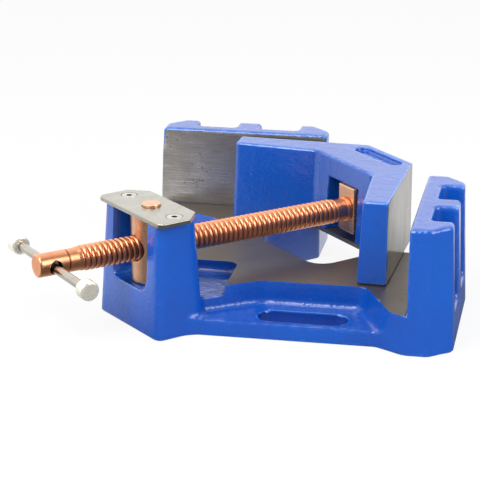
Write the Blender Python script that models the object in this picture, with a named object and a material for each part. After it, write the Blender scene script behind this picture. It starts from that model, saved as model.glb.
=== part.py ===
"""Two-axis welding vise: a cast body with two fixed jaws at a right angle, and a V jaw on a screw.

The body stands on z = 0.  The screw's nut turns about the vertical axis through the origin.
+X runs along the face of fixed jaw A and +Y along the face of fixed jaw B, both towards their
open corner, so the casting is symmetrical about the line x = y.  Sizes are in millimetres and
are turned into metres where a mesh is made.
"""
import math

import bpy
import bmesh
from mathutils import Matrix, Vector

MM = 0.001
FIT = 0.3                      # clearance between pieces that touch
ROOT2 = math.sqrt(2.0)

# Body casting: heights
BED_Z = 28.0                   # machined bed above the floor
JAW_HEIGHT = 60.0              # jaw faces above the bed
RAIL_Z = 11.0                  # top of the low rails beside the tower
RECESS_Z = 20.0                # as-cast floor behind the tower
TOWER_Z = 80.5                 # top of the tower's two pillars
SILL_Z = 30.0                  # sill of the tower's window

# Body casting: plan
JAW_FACE = 182.0               # jaw faces lie at x = JAW_FACE and y = JAW_FACE
JAW_NEAR = -33.0               # near end of the jaws at the top
JAW_FAR = 95.0                 # far end of the jaws
JAW_WALL = 12.0                # jaw thickness between its ribs
JAW_DEPTH = 27.5               # jaw thickness over its ribs, at the top
JAW_CHAMFER = 13.0             # chamfer of the outer ribs' corners
END_DRAFT = 3.0                # spread of the jaw's outside from top to floor
RIB_WIDTH = 18.0               # middle rib
RIB_GAP = 31.0                 # pockets between the ribs
POCKET_DRAFT = 1.5             # taper of the pockets between the ribs
LEDGE_Z = 23.0                 # floor of the pockets between the ribs
RELIEF_WIDTH = 1.6             # relief groove at the foot of each jaw face
RELIEF_DEPTH = 1.0
RAIL_EDGE = -24.0              # outer edge of the rails
RAIL_END = 160.0               # where the rail turns out to the jaw's near end
RAIL_FLARE = 20.0              # length of that turn
HOLLOW_BACK = 16.5             # wall at the back of the hollow above each rail
HOLLOW_START = 36.0            # where that wall leaves the tower
HOLLOW_TURN = 74.0             # where it turns to run along the rail
HOLLOW_END = 148.0             # where it turns out to the jaw
HOLLOW_DRAFT = 5.0             # slope of its last stretch
HOLLOW_RADIUS = 16.0           # of its bend beside the tower
HOLLOW_END_RADIUS = 12.0
RECESS_EDGE = 51.5             # far sides of the recess behind the tower
RECESS_RADIUS = 8.0
RAIL_SLOT_START = 76.0         # mounting slot through each rail
RAIL_SLOT_END = 139.0
RAIL_SLOT_WIDTH = 24.0
RAIL_SLOT_Y = -6.5
SLOT_START = 114.5             # opening through the bed, along the screw
SLOT_HALF = 39.0
SLOT_RADIUS = 14.0

# Tower, along the screw (s) and across it (e)
TOWER_FRONT = 17.0
TOWER_BACK = 16.0
TOWER_PILLAR = 13.5            # thickness of each pillar beside the window, at the top
TOWER_DRAFT = 4.0              # spread of the tower from top to floor
TOWER_CORNER = 6.0
TOWER_BACK_CORNER = 9.0
WINDOW_HALF = 22.5
WINDOW_CORNER = 7.0
TOWER_HALF = WINDOW_HALF + TOWER_PILLAR

# Top plate and its screws
PLATE_THICKNESS = 3.0
PLATE_LAP = 5.0                # plate past the tower's sides
PLATE_HALF = TOWER_HALF + PLATE_LAP
PLATE_FRONT = 18.5
PLATE_BACK = 17.5
PLATE_CHAMFER = 12.0
PLATE_NICK = 3.0
PLATE_SCREW_INSET = 6.5        # from the pillar's outer side to its screw
PLATE_SCREW_E = TOWER_HALF - PLATE_SCREW_INSET
PLATE_SCREW_RADIUS = 3.2
PLATE_SCREW_HEAD = 5.5
PLATE_SCREW_LENGTH = 18.0
SOCKET_RADIUS = 2.3
SOCKET_DEPTH = 1.8

# Nut
NUT_RADIUS = 14.5
JOURNAL_RADIUS = 6.5
JOURNAL_PROUD = 1.8            # nut journal above the top plate
JOURNAL_DEPTH = 8.0            # nut journal below the window's sill

# Screw
SWING = math.radians(-3.5)     # the screw's swing about the nut, as the photograph shows it
SCREW_Z = 55.2
SCREW_RADIUS = 9.0
THREAD_DEPTH = 2.0
PITCH = 4.0
THREAD_SIDES = 14
THREAD_START = -61.0
THREAD_END = 157.5
HEAD_RADIUS = 8.0
HEAD_SHOULDER = 6.0            # plain length between the thread and the head's groove
HEAD_GROOVE_WIDTH = 1.2
HEAD_GROOVE = THREAD_START - HEAD_SHOULDER
SPINDLE_RADIUS = 6.0           # journal inside the swivel block
NECK_RADIUS = 4.6              # groove in that journal for the cross pins
CROSS_PIN_RADIUS = 1.5

# Handle bar
BAR_FROM_GROOVE = 9.8
BAR_FROM_END = 11.7            # from the bar to the end of the screw's head
BAR_S = HEAD_GROOVE - BAR_FROM_GROOVE
HEAD_END = BAR_S - BAR_FROM_END
BAR_RADIUS = 3.2
BAR_HOLE_RADIUS = 5.5
BAR_HALF = 58.5
KNOB_RADIUS = 6.8
KNOB_LENGTH = 10.0
KNOB_EDGE = 2.2

# Moving V jaw, in its own directions
JAW_OFFSET = -8.0              # how far the V jaw has slid across the swivel block
V_FACE = 165.5
V_NEAR = 26.0
V_APEX_CUT = 40.3              # flat that cuts off the V's point
V_ARM = 18.0
V_ARM_ROOT = 23.6
V_WEB = 164.5                  # centre face, along the screw
V_DRAFT = 3.0
V_TOP_SLOT_LENGTH = 52.0
V_TOP_SLOT_WIDTH = 12.0
V_TOP_SLOT_DEPTH = 3.0
V_TOP_SLOT_S = 195.0
V_LIFT = 0.5                   # clearance under the moving jaw, so that it slides freely

# Swivel block and keeper plate
BLOCK_HALF = 10.0
BLOCK_PROUD = 3.0
BLOCK_DEPTH = 24.0
BLOCK_LOW = 17.7               # block below and above the screw's axis
BLOCK_HIGH = 16.8
FLANGE_DEPTH = 9.0
FLANGE_RISE = 6.0
POCKET_HALF = 19.5
KEEPER_THICKNESS = 3.0
KEEPER_SCREW_INSET = 6.5       # from the pocket's side to the keeper's screw
KEEPER_EDGE = 6.0              # plate past its screws
KEEPER_SCREW_E = POCKET_HALF + KEEPER_SCREW_INSET
KEEPER_HALF = KEEPER_SCREW_E + KEEPER_EDGE
KEEPER_SCREW_RADIUS = 2.5
KEEPER_SCREW_HEAD = 4.6
KEEPER_SCREW_LENGTH = 14.0

JAW_TOP = BED_Z + JAW_HEIGHT
PLATE_Z = TOWER_Z + FIT
PLATE_TOP = PLATE_Z + PLATE_THICKNESS
V_BOTTOM = BED_Z + V_LIFT
V_TOP = JAW_TOP
V_APEX = 2 * V_FACE - V_APEX_CUT
BLOCK_FRONT = V_WEB - BLOCK_PROUD
BLOCK_BACK = BLOCK_FRONT + BLOCK_DEPTH
POCKET_BACK = BLOCK_BACK + FIT
POCKET_TOP = SCREW_Z + BLOCK_HIGH + FIT
KEEPER_TOP = V_BOTTOM + KEEPER_THICKNESS


def clear_scene():
    for item in list(bpy.data.objects):
        bpy.data.objects.remove(item, do_unlink=True)


def material(name, colour, roughness, metallic):
    """A Principled material with one colour."""
    made = bpy.data.materials.new(name)
    made.use_nodes = True
    shader = made.node_tree.nodes["Principled BSDF"]
    shader.inputs["Base Color"].default_value = (*colour, 1.0)
    shader.inputs["Roughness"].default_value = roughness
    shader.inputs["Metallic"].default_value = metallic
    return made


def empty(name, location, turn=0.0, parent=None):
    """An empty on a joint's axis, turned about the vertical."""
    made = bpy.data.objects.new(name, None)
    made.empty_display_size = 0.02
    made.location = Vector(location) * MM
    made.rotation_euler = (0.0, 0.0, turn)
    made.parent = parent
    bpy.context.collection.objects.link(made)
    return made


def add_object(name, build, finish=None, parent=None):
    """Turn a bmesh in millimetres into an object in metres."""
    bmesh.ops.scale(build, vec=(MM, MM, MM), verts=build.verts)
    bmesh.ops.recalc_face_normals(build, faces=build.faces)
    mesh = bpy.data.meshes.new(name)
    build.to_mesh(mesh)
    build.free()
    made = bpy.data.objects.new(name, mesh)
    made.parent = parent
    if finish:
        mesh.materials.append(finish)
        mesh.shade_smooth()
        mesh.set_sharp_from_angle(angle=math.radians(35))
    bpy.context.collection.objects.link(made)
    return made


def loft(levels):
    """A closed solid through outlines with the same number of points, each a list of (x, y, z)."""
    build = bmesh.new()
    rings = [[build.verts.new(point) for point in level] for level in levels]
    count = len(rings[0])
    for low, high in zip(rings, rings[1:]):
        for i in range(count):
            j = (i + 1) % count
            build.faces.new((low[i], low[j], high[j], high[i]))
    build.faces.new(reversed(rings[0]))
    build.faces.new(rings[-1])
    return build


def prism(outline, low, high):
    """An outline in plan, pulled from z = low to z = high."""
    return loft([[(x, y, low) for x, y in outline], [(x, y, high) for x, y in outline]])


def turned(profile, sides, axis="Z"):
    """A solid turned round an axis from (radius, place) pairs, closed at both ends by flat caps."""
    levels = []
    for radius, place in profile:
        ring = []
        for i in range(sides):
            angle = 2 * math.pi * (i + 0.5) / sides
            across, up = radius * math.cos(angle), radius * math.sin(angle)
            ring.append({"Z": (across, up, place), "X": (place, across, up), "Y": (up, place, across)}[axis])
        levels.append(ring)
    return loft(levels)


def rounded(corners, steps=4):
    """Round the corners of an outline: each corner is (x, y, radius) and gets steps + 1 points."""
    points = []
    count = len(corners)
    for i, (x, y, radius) in enumerate(corners):
        here = Vector((x, y))
        if radius <= 0:
            points.append((x, y))
            continue
        back = (Vector(corners[i - 1][:2]) - here).normalized()
        ahead = (Vector(corners[(i + 1) % count][:2]) - here).normalized()
        half = back.angle(ahead) / 2
        reach = radius / math.tan(half)
        centre = here + (back + ahead).normalized() * (radius / math.sin(half))
        start, stop = here + back * reach - centre, here + ahead * reach - centre
        sweep = start.angle_signed(stop)
        for k in range(steps + 1):
            turn = -sweep * k / steps
            c, s = math.cos(turn), math.sin(turn)
            points.append((centre.x + c * start.x - s * start.y, centre.y + s * start.x + c * start.y))
    return points


def mirrored(points):
    """The outline's other half, across the line x = y, in the same sense of rotation."""
    return [(p[1], p[0], *p[2:]) for p in reversed(points)]


def screw_frame(s, e):
    """Plan position of a point s along the symmetry line and e across it."""
    return ((s + e) / ROOT2, (s - e) / ROOT2)


def obround(centre, half_length, radius, along, steps=8):
    """A slot outline with round ends: its long axis points along the given plan direction."""
    along = Vector(along).normalized()
    across = Vector((-along.y, along.x))
    points = []
    for end in (1, -1):
        middle = Vector(centre) + along * (half_length - radius) * end
        for k in range(steps + 1):
            angle = -math.pi / 2 + math.pi * k / steps
            offset = along * math.cos(angle) * end + across * math.sin(angle) * end
            point = middle + offset * radius
            points.append((point.x, point.y))
    return points


def combine(target, tool, operation):
    """Add or take away a hidden tool object with an exact Boolean."""
    step = target.modifiers.new(tool.name, "BOOLEAN")
    step.operation = operation
    step.solver = "EXACT"
    step.object = tool
    tool.hide_render = True
    tool.display_type = "WIRE"
    tool.parent = target.parent


def body_outline(spread):
    """Plan of the whole casting: spread is how far the jaws' outsides lean out of the top size."""
    near = JAW_NEAR - spread
    outer = JAW_FACE + JAW_DEPTH + spread
    wall = JAW_FACE + JAW_DEPTH - JAW_CHAMFER
    side = TOWER_HALF - TOWER_DRAFT
    slot_far = JAW_FAR + SLOT_HALF * ROOT2
    half = [
        (*screw_frame(0, side), 0),
        (side * ROOT2 + RAIL_EDGE, RAIL_EDGE, 0),
        (RAIL_END, RAIL_EDGE, 12.0),
        (RAIL_END + RAIL_FLARE, near, 8.0),
        (wall, near, 4.0),
        (outer, near + JAW_CHAMFER, 4.0),
        (outer, JAW_FAR - JAW_CHAMFER, 4.0),
        (wall, JAW_FAR, 4.0),
        (slot_far, JAW_FAR, 3.0),
        (*screw_frame(SLOT_START, SLOT_HALF), SLOT_RADIUS),
    ]
    return rounded(half + mirrored(half), steps=3)


def work_space():
    """What is milled away above the bed, leaving the two jaws standing."""
    far = JAW_FAR + END_DRAFT + 60
    corners = [(-90, -90), (JAW_FACE, -90), (JAW_FACE, far), (far, JAW_FACE), (-90, JAW_FACE)]
    return prism(corners, BED_Z, JAW_TOP + 1)


def rib_pocket(start, mirror):
    """The space between two ribs: its sides and its floor taper as a casting's do."""
    inner = JAW_FACE + JAW_WALL
    outer = JAW_FACE + JAW_DEPTH + 2 * END_DRAFT
    levels = []
    for z, shrink in ((LEDGE_Z, POCKET_DRAFT), (JAW_TOP + 2.0, 0.0)):
        outline = [
            (inner + shrink, start + shrink, 3.0),
            (outer, start + shrink, 0.0),
            (outer, start + RIB_GAP - shrink, 0.0),
            (inner + shrink, start + RIB_GAP - shrink, 3.0),
        ]
        outline = mirrored(outline) if mirror else outline
        levels.append([(x, y, z) for x, y in rounded(outline, steps=2)])
    return loft(levels)


def tower():
    """The tower that holds the nut, tapering to its top."""
    levels = []
    for z, spread in ((0.0, TOWER_DRAFT), (TOWER_Z, 0.0)):
        front, back, side = -TOWER_FRONT - spread, TOWER_BACK + spread, TOWER_HALF + spread
        corners = [(front, side, TOWER_CORNER), (back, side, TOWER_BACK_CORNER),
                   (back, -side, TOWER_BACK_CORNER), (front, -side, TOWER_CORNER)]
        outline = rounded([(*screw_frame(s, e), radius) for s, e, radius in corners], steps=3)
        levels.append([(x, y, z) for x, y in outline])
    return loft(levels)


def rail_hollow(mirror):
    """The hollow above a rail: a wall runs from the tower round the bed and out to the jaw."""
    levels = []
    for z, slope in ((RAIL_Z, HOLLOW_DRAFT), (BED_Z, 0.0), (BED_Z + 1.0, 0.0)):
        start, turn, end = HOLLOW_START, HOLLOW_TURN, HOLLOW_END - 0.5 * slope
        out = RAIL_END + RAIL_FLARE - 7.0 - slope
        outline = [
            (start - 40, RAIL_EDGE - 40, 0),
            (start - 40, RAIL_EDGE - 10, 0),
            (turn, HOLLOW_BACK, HOLLOW_RADIUS),
            (end, HOLLOW_BACK, HOLLOW_END_RADIUS),
            (out, JAW_NEAR - 3, 6.0),
            (out + 12, JAW_NEAR - 3, 0),
            (out + 12, RAIL_EDGE - 40, 0),
        ]
        outline = mirrored(outline) if mirror else outline
        levels.append([(x, y, z) for x, y in rounded(outline, steps=4)])
    return loft(levels)


def bed_recess():
    """The as-cast recess between the tower and the machined bed."""
    low = TOWER_BACK * ROOT2 - RECESS_EDGE - 20.0
    corners = [(RECESS_EDGE, low, 0), (RECESS_EDGE, RECESS_EDGE, RECESS_RADIUS), (low, RECESS_EDGE, 0)]
    return prism(rounded(corners, steps=4), RECESS_Z, BED_Z + 1.0)


def window():
    """The opening through the tower for the nut, open at the top under the plate."""
    corners = [(-WINDOW_HALF, TOWER_Z + 1, 0), (-WINDOW_HALF, SILL_Z, WINDOW_CORNER),
               (WINDOW_HALF, SILL_Z, WINDOW_CORNER), (WINDOW_HALF, TOWER_Z + 1, 0)]
    outline = rounded(corners, steps=4)
    levels = []
    for s in (-TOWER_FRONT - 2 * TOWER_DRAFT, TOWER_BACK + 2 * TOWER_DRAFT):
        levels.append([(*screw_frame(s, e), z) for e, z in outline])
    return loft(levels)


def make_body(finish):
    """The cast body: base, two ribbed jaws and the tower in one solid."""
    blank = [[(x, y, 0.0) for x, y in body_outline(END_DRAFT)], [(x, y, JAW_TOP) for x, y in body_outline(0.0)]]
    body = add_object("body_casting", loft(blank), finish)
    combine(body, add_object("work_space", work_space()), "DIFFERENCE")
    outer_rib = (JAW_FAR - JAW_NEAR - RIB_WIDTH - 2 * RIB_GAP) / 2
    starts = (JAW_NEAR + outer_rib, JAW_NEAR + outer_rib + RIB_GAP + RIB_WIDTH)
    slot_middle = (RAIL_SLOT_START + RAIL_SLOT_END) / 2
    slot_half = (RAIL_SLOT_END - RAIL_SLOT_START) / 2
    for name, mirror in (("side_b", False), ("side_a", True)):
        for i, start in enumerate(starts):
            combine(body, add_object(f"{name}_rib_pocket_{i}", rib_pocket(start, mirror)), "DIFFERENCE")
        combine(body, add_object(name + "_hollow", rail_hollow(mirror)), "DIFFERENCE")
        centre, along = (slot_middle, RAIL_SLOT_Y), (1, 0)
        centre, along = (centre[::-1], along[::-1]) if mirror else (centre, along)
        slot = obround(centre, slot_half, RAIL_SLOT_WIDTH / 2, along)
        combine(body, add_object(name + "_slot", prism(slot, -1.0, RAIL_Z + 1)), "DIFFERENCE")
        groove = [(JAW_FACE - RELIEF_WIDTH, JAW_NEAR - 10), (JAW_FACE, JAW_NEAR - 10),
                  (JAW_FACE, JAW_FAR + 10), (JAW_FACE - RELIEF_WIDTH, JAW_FAR + 10)]
        groove = mirrored(groove) if mirror else groove
        relief = prism(groove, BED_Z - RELIEF_DEPTH, BED_Z + 1)
        combine(body, add_object(name + "_relief", relief), "DIFFERENCE")
    combine(body, add_object("bed_recess", bed_recess()), "DIFFERENCE")
    combine(body, add_object("tower_block", tower()), "UNION")
    combine(body, add_object("tower_window", window()), "DIFFERENCE")
    depth = JOURNAL_DEPTH + 2 * FIT
    bore = turned([(JOURNAL_RADIUS + FIT, SILL_Z - depth), (JOURNAL_RADIUS + FIT, SILL_Z + 1)], 24)
    combine(body, add_object("journal_bore", bore), "DIFFERENCE")
    for name, side in (("left", -1), ("right", 1)):
        radius = PLATE_SCREW_RADIUS + FIT
        hole = turned([(radius, TOWER_Z - PLATE_SCREW_LENGTH), (radius, TOWER_Z + 1)], 16)
        x, y = screw_frame(0, side * PLATE_SCREW_E)
        bmesh.ops.translate(hole, vec=(x, y, 0), verts=hole.verts)
        combine(body, add_object("screw_hole_" + name, hole), "DIFFERENCE")
    return body


def countersunk(radius, head, length, top, sides=16):
    """A countersunk screw with its head's face at z = top and a socket in it."""
    cone = head - radius
    build = turned([(radius, top - length), (radius, top - cone - 0.4), (head, top - 0.4), (head, top)], sides)
    return build


def make_top_plate(finish, steel):
    """The plate over the tower, and the two countersunk screws that hold it."""
    corners = [(-PLATE_FRONT, -PLATE_HALF + PLATE_NICK), (-PLATE_FRONT, PLATE_HALF - PLATE_NICK),
               (-PLATE_FRONT + PLATE_NICK, PLATE_HALF), (PLATE_BACK - PLATE_CHAMFER, PLATE_HALF),
               (PLATE_BACK, PLATE_HALF - PLATE_CHAMFER), (PLATE_BACK, -PLATE_HALF + PLATE_CHAMFER),
               (PLATE_BACK - PLATE_CHAMFER, -PLATE_HALF), (-PLATE_FRONT + PLATE_NICK, -PLATE_HALF)]
    outline = [(*screw_frame(s, e), 1.5) for s, e in corners]
    plate = add_object("top_plate", prism(rounded(outline, steps=2), PLATE_Z, PLATE_TOP), finish)
    bore = turned([(JOURNAL_RADIUS + FIT, PLATE_Z - 1), (JOURNAL_RADIUS + FIT, PLATE_TOP + 1)], 24)
    combine(plate, add_object("plate_bore", bore), "DIFFERENCE")
    for name, side in (("left", -1), ("right", 1)):
        x, y = screw_frame(0, side * PLATE_SCREW_E)
        low, high = PLATE_SCREW_RADIUS + FIT, PLATE_SCREW_HEAD + FIT
        sink = turned([(low, PLATE_Z - 1), (low, PLATE_TOP - (high - low) - 0.4),
                       (high, PLATE_TOP - 0.4), (high, PLATE_TOP + 1)], 24)
        bmesh.ops.translate(sink, vec=(x, y, 0), verts=sink.verts)
        combine(plate, add_object("plate_sink_" + name, sink), "DIFFERENCE")
        screw = countersunk(PLATE_SCREW_RADIUS, PLATE_SCREW_HEAD, PLATE_SCREW_LENGTH, PLATE_TOP, 24)
        made = add_object("plate_screw_" + name, screw, steel)
        made.location = (x * MM, y * MM, 0)
        socket = turned([(SOCKET_RADIUS, PLATE_TOP - SOCKET_DEPTH), (SOCKET_RADIUS, PLATE_TOP + 1)], 6)
        tool = add_object("plate_socket_" + name, socket)
        tool.location = (x * MM, y * MM, 0)
        combine(made, tool, "DIFFERENCE")
    return plate


def make_nut(finish, pivot):
    """The barrel nut that the screw runs through, turning on a journal above and below."""
    shoulder = SILL_Z + FIT
    top = TOWER_Z
    profile = [(JOURNAL_RADIUS - 0.8, SILL_Z - JOURNAL_DEPTH), (JOURNAL_RADIUS, SILL_Z - JOURNAL_DEPTH + 0.8),
               (JOURNAL_RADIUS, shoulder), (NUT_RADIUS - 1, shoulder), (NUT_RADIUS, shoulder + 1),
               (NUT_RADIUS, top - 1), (NUT_RADIUS - 1, top), (JOURNAL_RADIUS, top),
               (JOURNAL_RADIUS, PLATE_TOP + JOURNAL_PROUD - 0.6), (JOURNAL_RADIUS - 0.6, PLATE_TOP + JOURNAL_PROUD)]
    nut = add_object("trunnion_nut", turned(profile, 28), finish, pivot)
    bore = turned([(SCREW_RADIUS + FIT, -NUT_RADIUS - 5), (SCREW_RADIUS + FIT, NUT_RADIUS + 5)], 24, "X")
    bmesh.ops.translate(bore, vec=(0, 0, SCREW_Z), verts=bore.verts)
    combine(nut, add_object("nut_bore", bore, parent=pivot), "DIFFERENCE")
    return nut


def threaded_length():
    """The screw as one skin: head, neck, a helical thread, collar and end journal.

    The thread is a grid of columns round the axis.  Each column's stations repeat every pitch and
    rise by one pitch per turn, so the last column meets the first one pitch further on.
    """
    build = bmesh.new()
    root = SCREW_RADIUS - THREAD_DEPTH
    shape = ((0.0, 0.0), (0.30, 0.0), (0.46, 1.0), (0.84, 1.0))
    turns = int((THREAD_END - THREAD_START) / PITCH) - 1
    per_turn = len(shape)
    stations = [((turn + share) * PITCH, lift) for turn in range(turns) for share, lift in shape]
    stations.append((turns * PITCH, 0.0))
    columns = []
    for i in range(THREAD_SIDES):
        angle = 2 * math.pi * i / THREAD_SIDES
        rise = PITCH * i / THREAD_SIDES
        column = []
        for place, lift in stations:
            radius = root + THREAD_DEPTH * lift
            column.append(build.verts.new((THREAD_START + place + rise, radius * math.cos(angle),
                                           radius * math.sin(angle))))
        columns.append(column)
    count = len(stations)
    for i in range(THREAD_SIDES - 1):
        for j in range(count - 1):
            a, b = columns[i], columns[i + 1]
            build.faces.new((a[j], a[j + 1], b[j + 1], b[j]))
    last, first = columns[-1], columns[0]
    for j in range(count - 1 - per_turn):
        build.faces.new((last[j], last[j + 1], first[j + 1 + per_turn], first[j + per_turn]))

    def ring(place, radius):
        points = []
        for i in range(THREAD_SIDES):
            angle = 2 * math.pi * i / THREAD_SIDES
            points.append(build.verts.new((place, radius * math.cos(angle), radius * math.sin(angle))))
        return points

    def join(one, two):
        for i in range(THREAD_SIDES):
            j = (i + 1) % THREAD_SIDES
            build.faces.new((one[i], one[j], two[j], two[i]))

    edge = 1.2
    neck_end = HEAD_GROOVE + HEAD_GROOVE_WIDTH
    head = [(HEAD_END, HEAD_RADIUS - edge), (HEAD_END + edge, HEAD_RADIUS), (HEAD_GROOVE, HEAD_RADIUS),
            (HEAD_GROOVE + 0.2, HEAD_RADIUS - 0.9), (neck_end - 0.2, HEAD_RADIUS - 0.9),
            (neck_end, HEAD_RADIUS), (THREAD_START - 1.5, HEAD_RADIUS), (THREAD_START - 0.6, root)]
    rings = [ring(place, radius) for place, radius in head]
    build.faces.new(rings[0])
    for one, two in zip(rings, rings[1:]):
        join(one, two)
    start = rings[-1]
    for i in range(THREAD_SIDES - 1):
        build.faces.new((start[i], start[i + 1], columns[i + 1][0], columns[i][0]))
    step = [first[k] for k in range(per_turn + 1)]
    build.faces.new([start[-1], start[0], *step, last[0]])

    pin_s = BLOCK_FRONT + 8.5
    half = CROSS_PIN_RADIUS + FIT
    tail = [(THREAD_END + 0.6, root), (THREAD_END + 0.8, SCREW_RADIUS - 0.8), (THREAD_END + 1.6, SCREW_RADIUS),
            (BLOCK_FRONT - FIT - 0.8, SCREW_RADIUS), (BLOCK_FRONT - FIT, SCREW_RADIUS - 0.8),
            (BLOCK_FRONT - FIT, SPINDLE_RADIUS), (pin_s - half, SPINDLE_RADIUS), (pin_s - half, NECK_RADIUS),
            (pin_s + half, NECK_RADIUS), (pin_s + half, SPINDLE_RADIUS), (pin_s + 5.5, SPINDLE_RADIUS),
            (pin_s + 6.3, SPINDLE_RADIUS - 0.8)]
    rings = [ring(place, radius) for place, radius in tail]
    for one, two in zip(rings, rings[1:]):
        join(one, two)
    build.faces.new(rings[-1])
    stop = rings[0]
    for i in range(THREAD_SIDES - 1):
        build.faces.new((columns[i][-1], columns[i + 1][-1], stop[i + 1], stop[i]))
    step = [last[count - 1 - k] for k in range(per_turn + 1)]
    build.faces.new([stop[0], stop[-1], *step, first[-1]])
    bmesh.ops.translate(build, vec=(0, 0, SCREW_Z), verts=build.verts)
    return build


def make_screw(finish, pivot):
    """The copper-plated screw, with the hole for its handle bar."""
    screw = add_object("screw_spindle", threaded_length(), finish, pivot)
    reach = HEAD_RADIUS + 4
    hole = turned([(BAR_HOLE_RADIUS, -reach), (BAR_HOLE_RADIUS, reach)], 20, "Y")
    bmesh.ops.translate(hole, vec=(BAR_S, 0, SCREW_Z), verts=hole.verts)
    combine(screw, add_object("bar_hole", hole, parent=pivot), "DIFFERENCE")
    return screw


def make_handle(steel, pivot):
    """The sliding handle bar and its two end knobs."""
    rest = SCREW_Z - BAR_HOLE_RADIUS + BAR_RADIUS + FIT
    inner = BAR_HALF - KNOB_LENGTH
    neck = BAR_RADIUS - 0.9
    profile = [(neck, -BAR_HALF + 2), (neck, -inner), (BAR_RADIUS, -inner + 0.1), (BAR_RADIUS, inner - 0.1),
               (neck, inner), (neck, BAR_HALF - 2)]
    bar = add_object("handle_bar", turned(profile, 16, "Y"), steel, pivot)
    bar.location = Vector((BAR_S, 0, rest)) * MM
    for name, side in (("left", 1), ("right", -1)):
        shape = [(KNOB_RADIUS - KNOB_EDGE, 0), (KNOB_RADIUS - 0.6, 0.9), (KNOB_RADIUS, KNOB_EDGE + 0.6),
                 (KNOB_RADIUS, KNOB_LENGTH - KNOB_EDGE), (KNOB_RADIUS - 0.6, KNOB_LENGTH - 0.7),
                 (KNOB_RADIUS - KNOB_EDGE, KNOB_LENGTH)]
        knob = add_object("bar_knob_" + name, turned(shape, 20, "Y"), steel, pivot)
        socket = turned([(neck + FIT, -1), (neck + FIT, KNOB_LENGTH - 2 + FIT)], 16, "Y")
        tool = add_object("knob_socket_" + name, socket, parent=pivot)
        combine(knob, tool, "DIFFERENCE")
        for piece in (knob, tool):
            piece.location = Vector((BAR_S, side * inner, rest)) * MM
            piece.rotation_euler = (0, 0, 0 if side > 0 else math.pi)
    return bar


def make_block(finish, steel, pivot):
    """The swivel block on the screw's end, with a flange that pulls the V jaw back."""
    low, high = SCREW_Z - BLOCK_LOW, SCREW_Z + BLOCK_HIGH
    step = BLOCK_BACK - FLANGE_DEPTH
    side = [(BLOCK_FRONT, low), (BLOCK_BACK, low), (BLOCK_BACK, high + FLANGE_RISE),
            (step, high + FLANGE_RISE), (step, high), (BLOCK_FRONT, high)]
    levels = [[(s, across, z) for s, z in side] for across in (-BLOCK_HALF, BLOCK_HALF)]
    block = add_object("swivel_block", loft(levels), finish, pivot)
    pin_s = BLOCK_FRONT + 8.5
    radius = SPINDLE_RADIUS + FIT
    bore = turned([(radius, BLOCK_FRONT - 1), (radius, pin_s + 6.3 + FIT)], 24, "X")
    bmesh.ops.translate(bore, vec=(0, 0, SCREW_Z), verts=bore.verts)
    combine(block, add_object("block_bore", bore, parent=pivot), "DIFFERENCE")
    across = NECK_RADIUS + CROSS_PIN_RADIUS + FIT
    length = BLOCK_HIGH + 10
    for name, sign in (("left", 1), ("right", -1)):
        place = Vector((pin_s, sign * across, 0)) * MM
        hole = turned([(CROSS_PIN_RADIUS + FIT, high - length - FIT), (CROSS_PIN_RADIUS + FIT, high + 1)], 12)
        tool = add_object("pin_hole_" + name, hole, parent=pivot)
        tool.location = place
        combine(block, tool, "DIFFERENCE")
        pin = add_object("cross_pin_" + name,
                         turned([(CROSS_PIN_RADIUS, high - length), (CROSS_PIN_RADIUS, high - 0.4)], 12), steel, pivot)
        pin.location = place
    return block


def v_plan(spread):
    """Plan of the V jaw: spread thickens the cast inner sides towards the bottom."""
    root = V_FACE - V_ARM_ROOT - spread
    web = V_WEB * ROOT2 - spread * ROOT2
    near = V_NEAR - 0.6 * spread
    half = [
        (V_FACE - V_ARM - spread, near, 3.0),
        (V_FACE, near, 1.5),
        (V_FACE, V_APEX - V_FACE, 0.8),
    ]
    inner = [(root, web - root, 9.0)]
    return rounded(half + mirrored(half) + mirrored(inner) + inner, steps=3)


def in_jaw(build):
    """Turn a shape laid out on the symmetry line so that it lies along the screw's own line."""
    bmesh.ops.rotate(build, cent=(0, 0, 0), matrix=Matrix.Rotation(-math.pi / 4, 3, "Z"), verts=build.verts)
    return build


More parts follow.
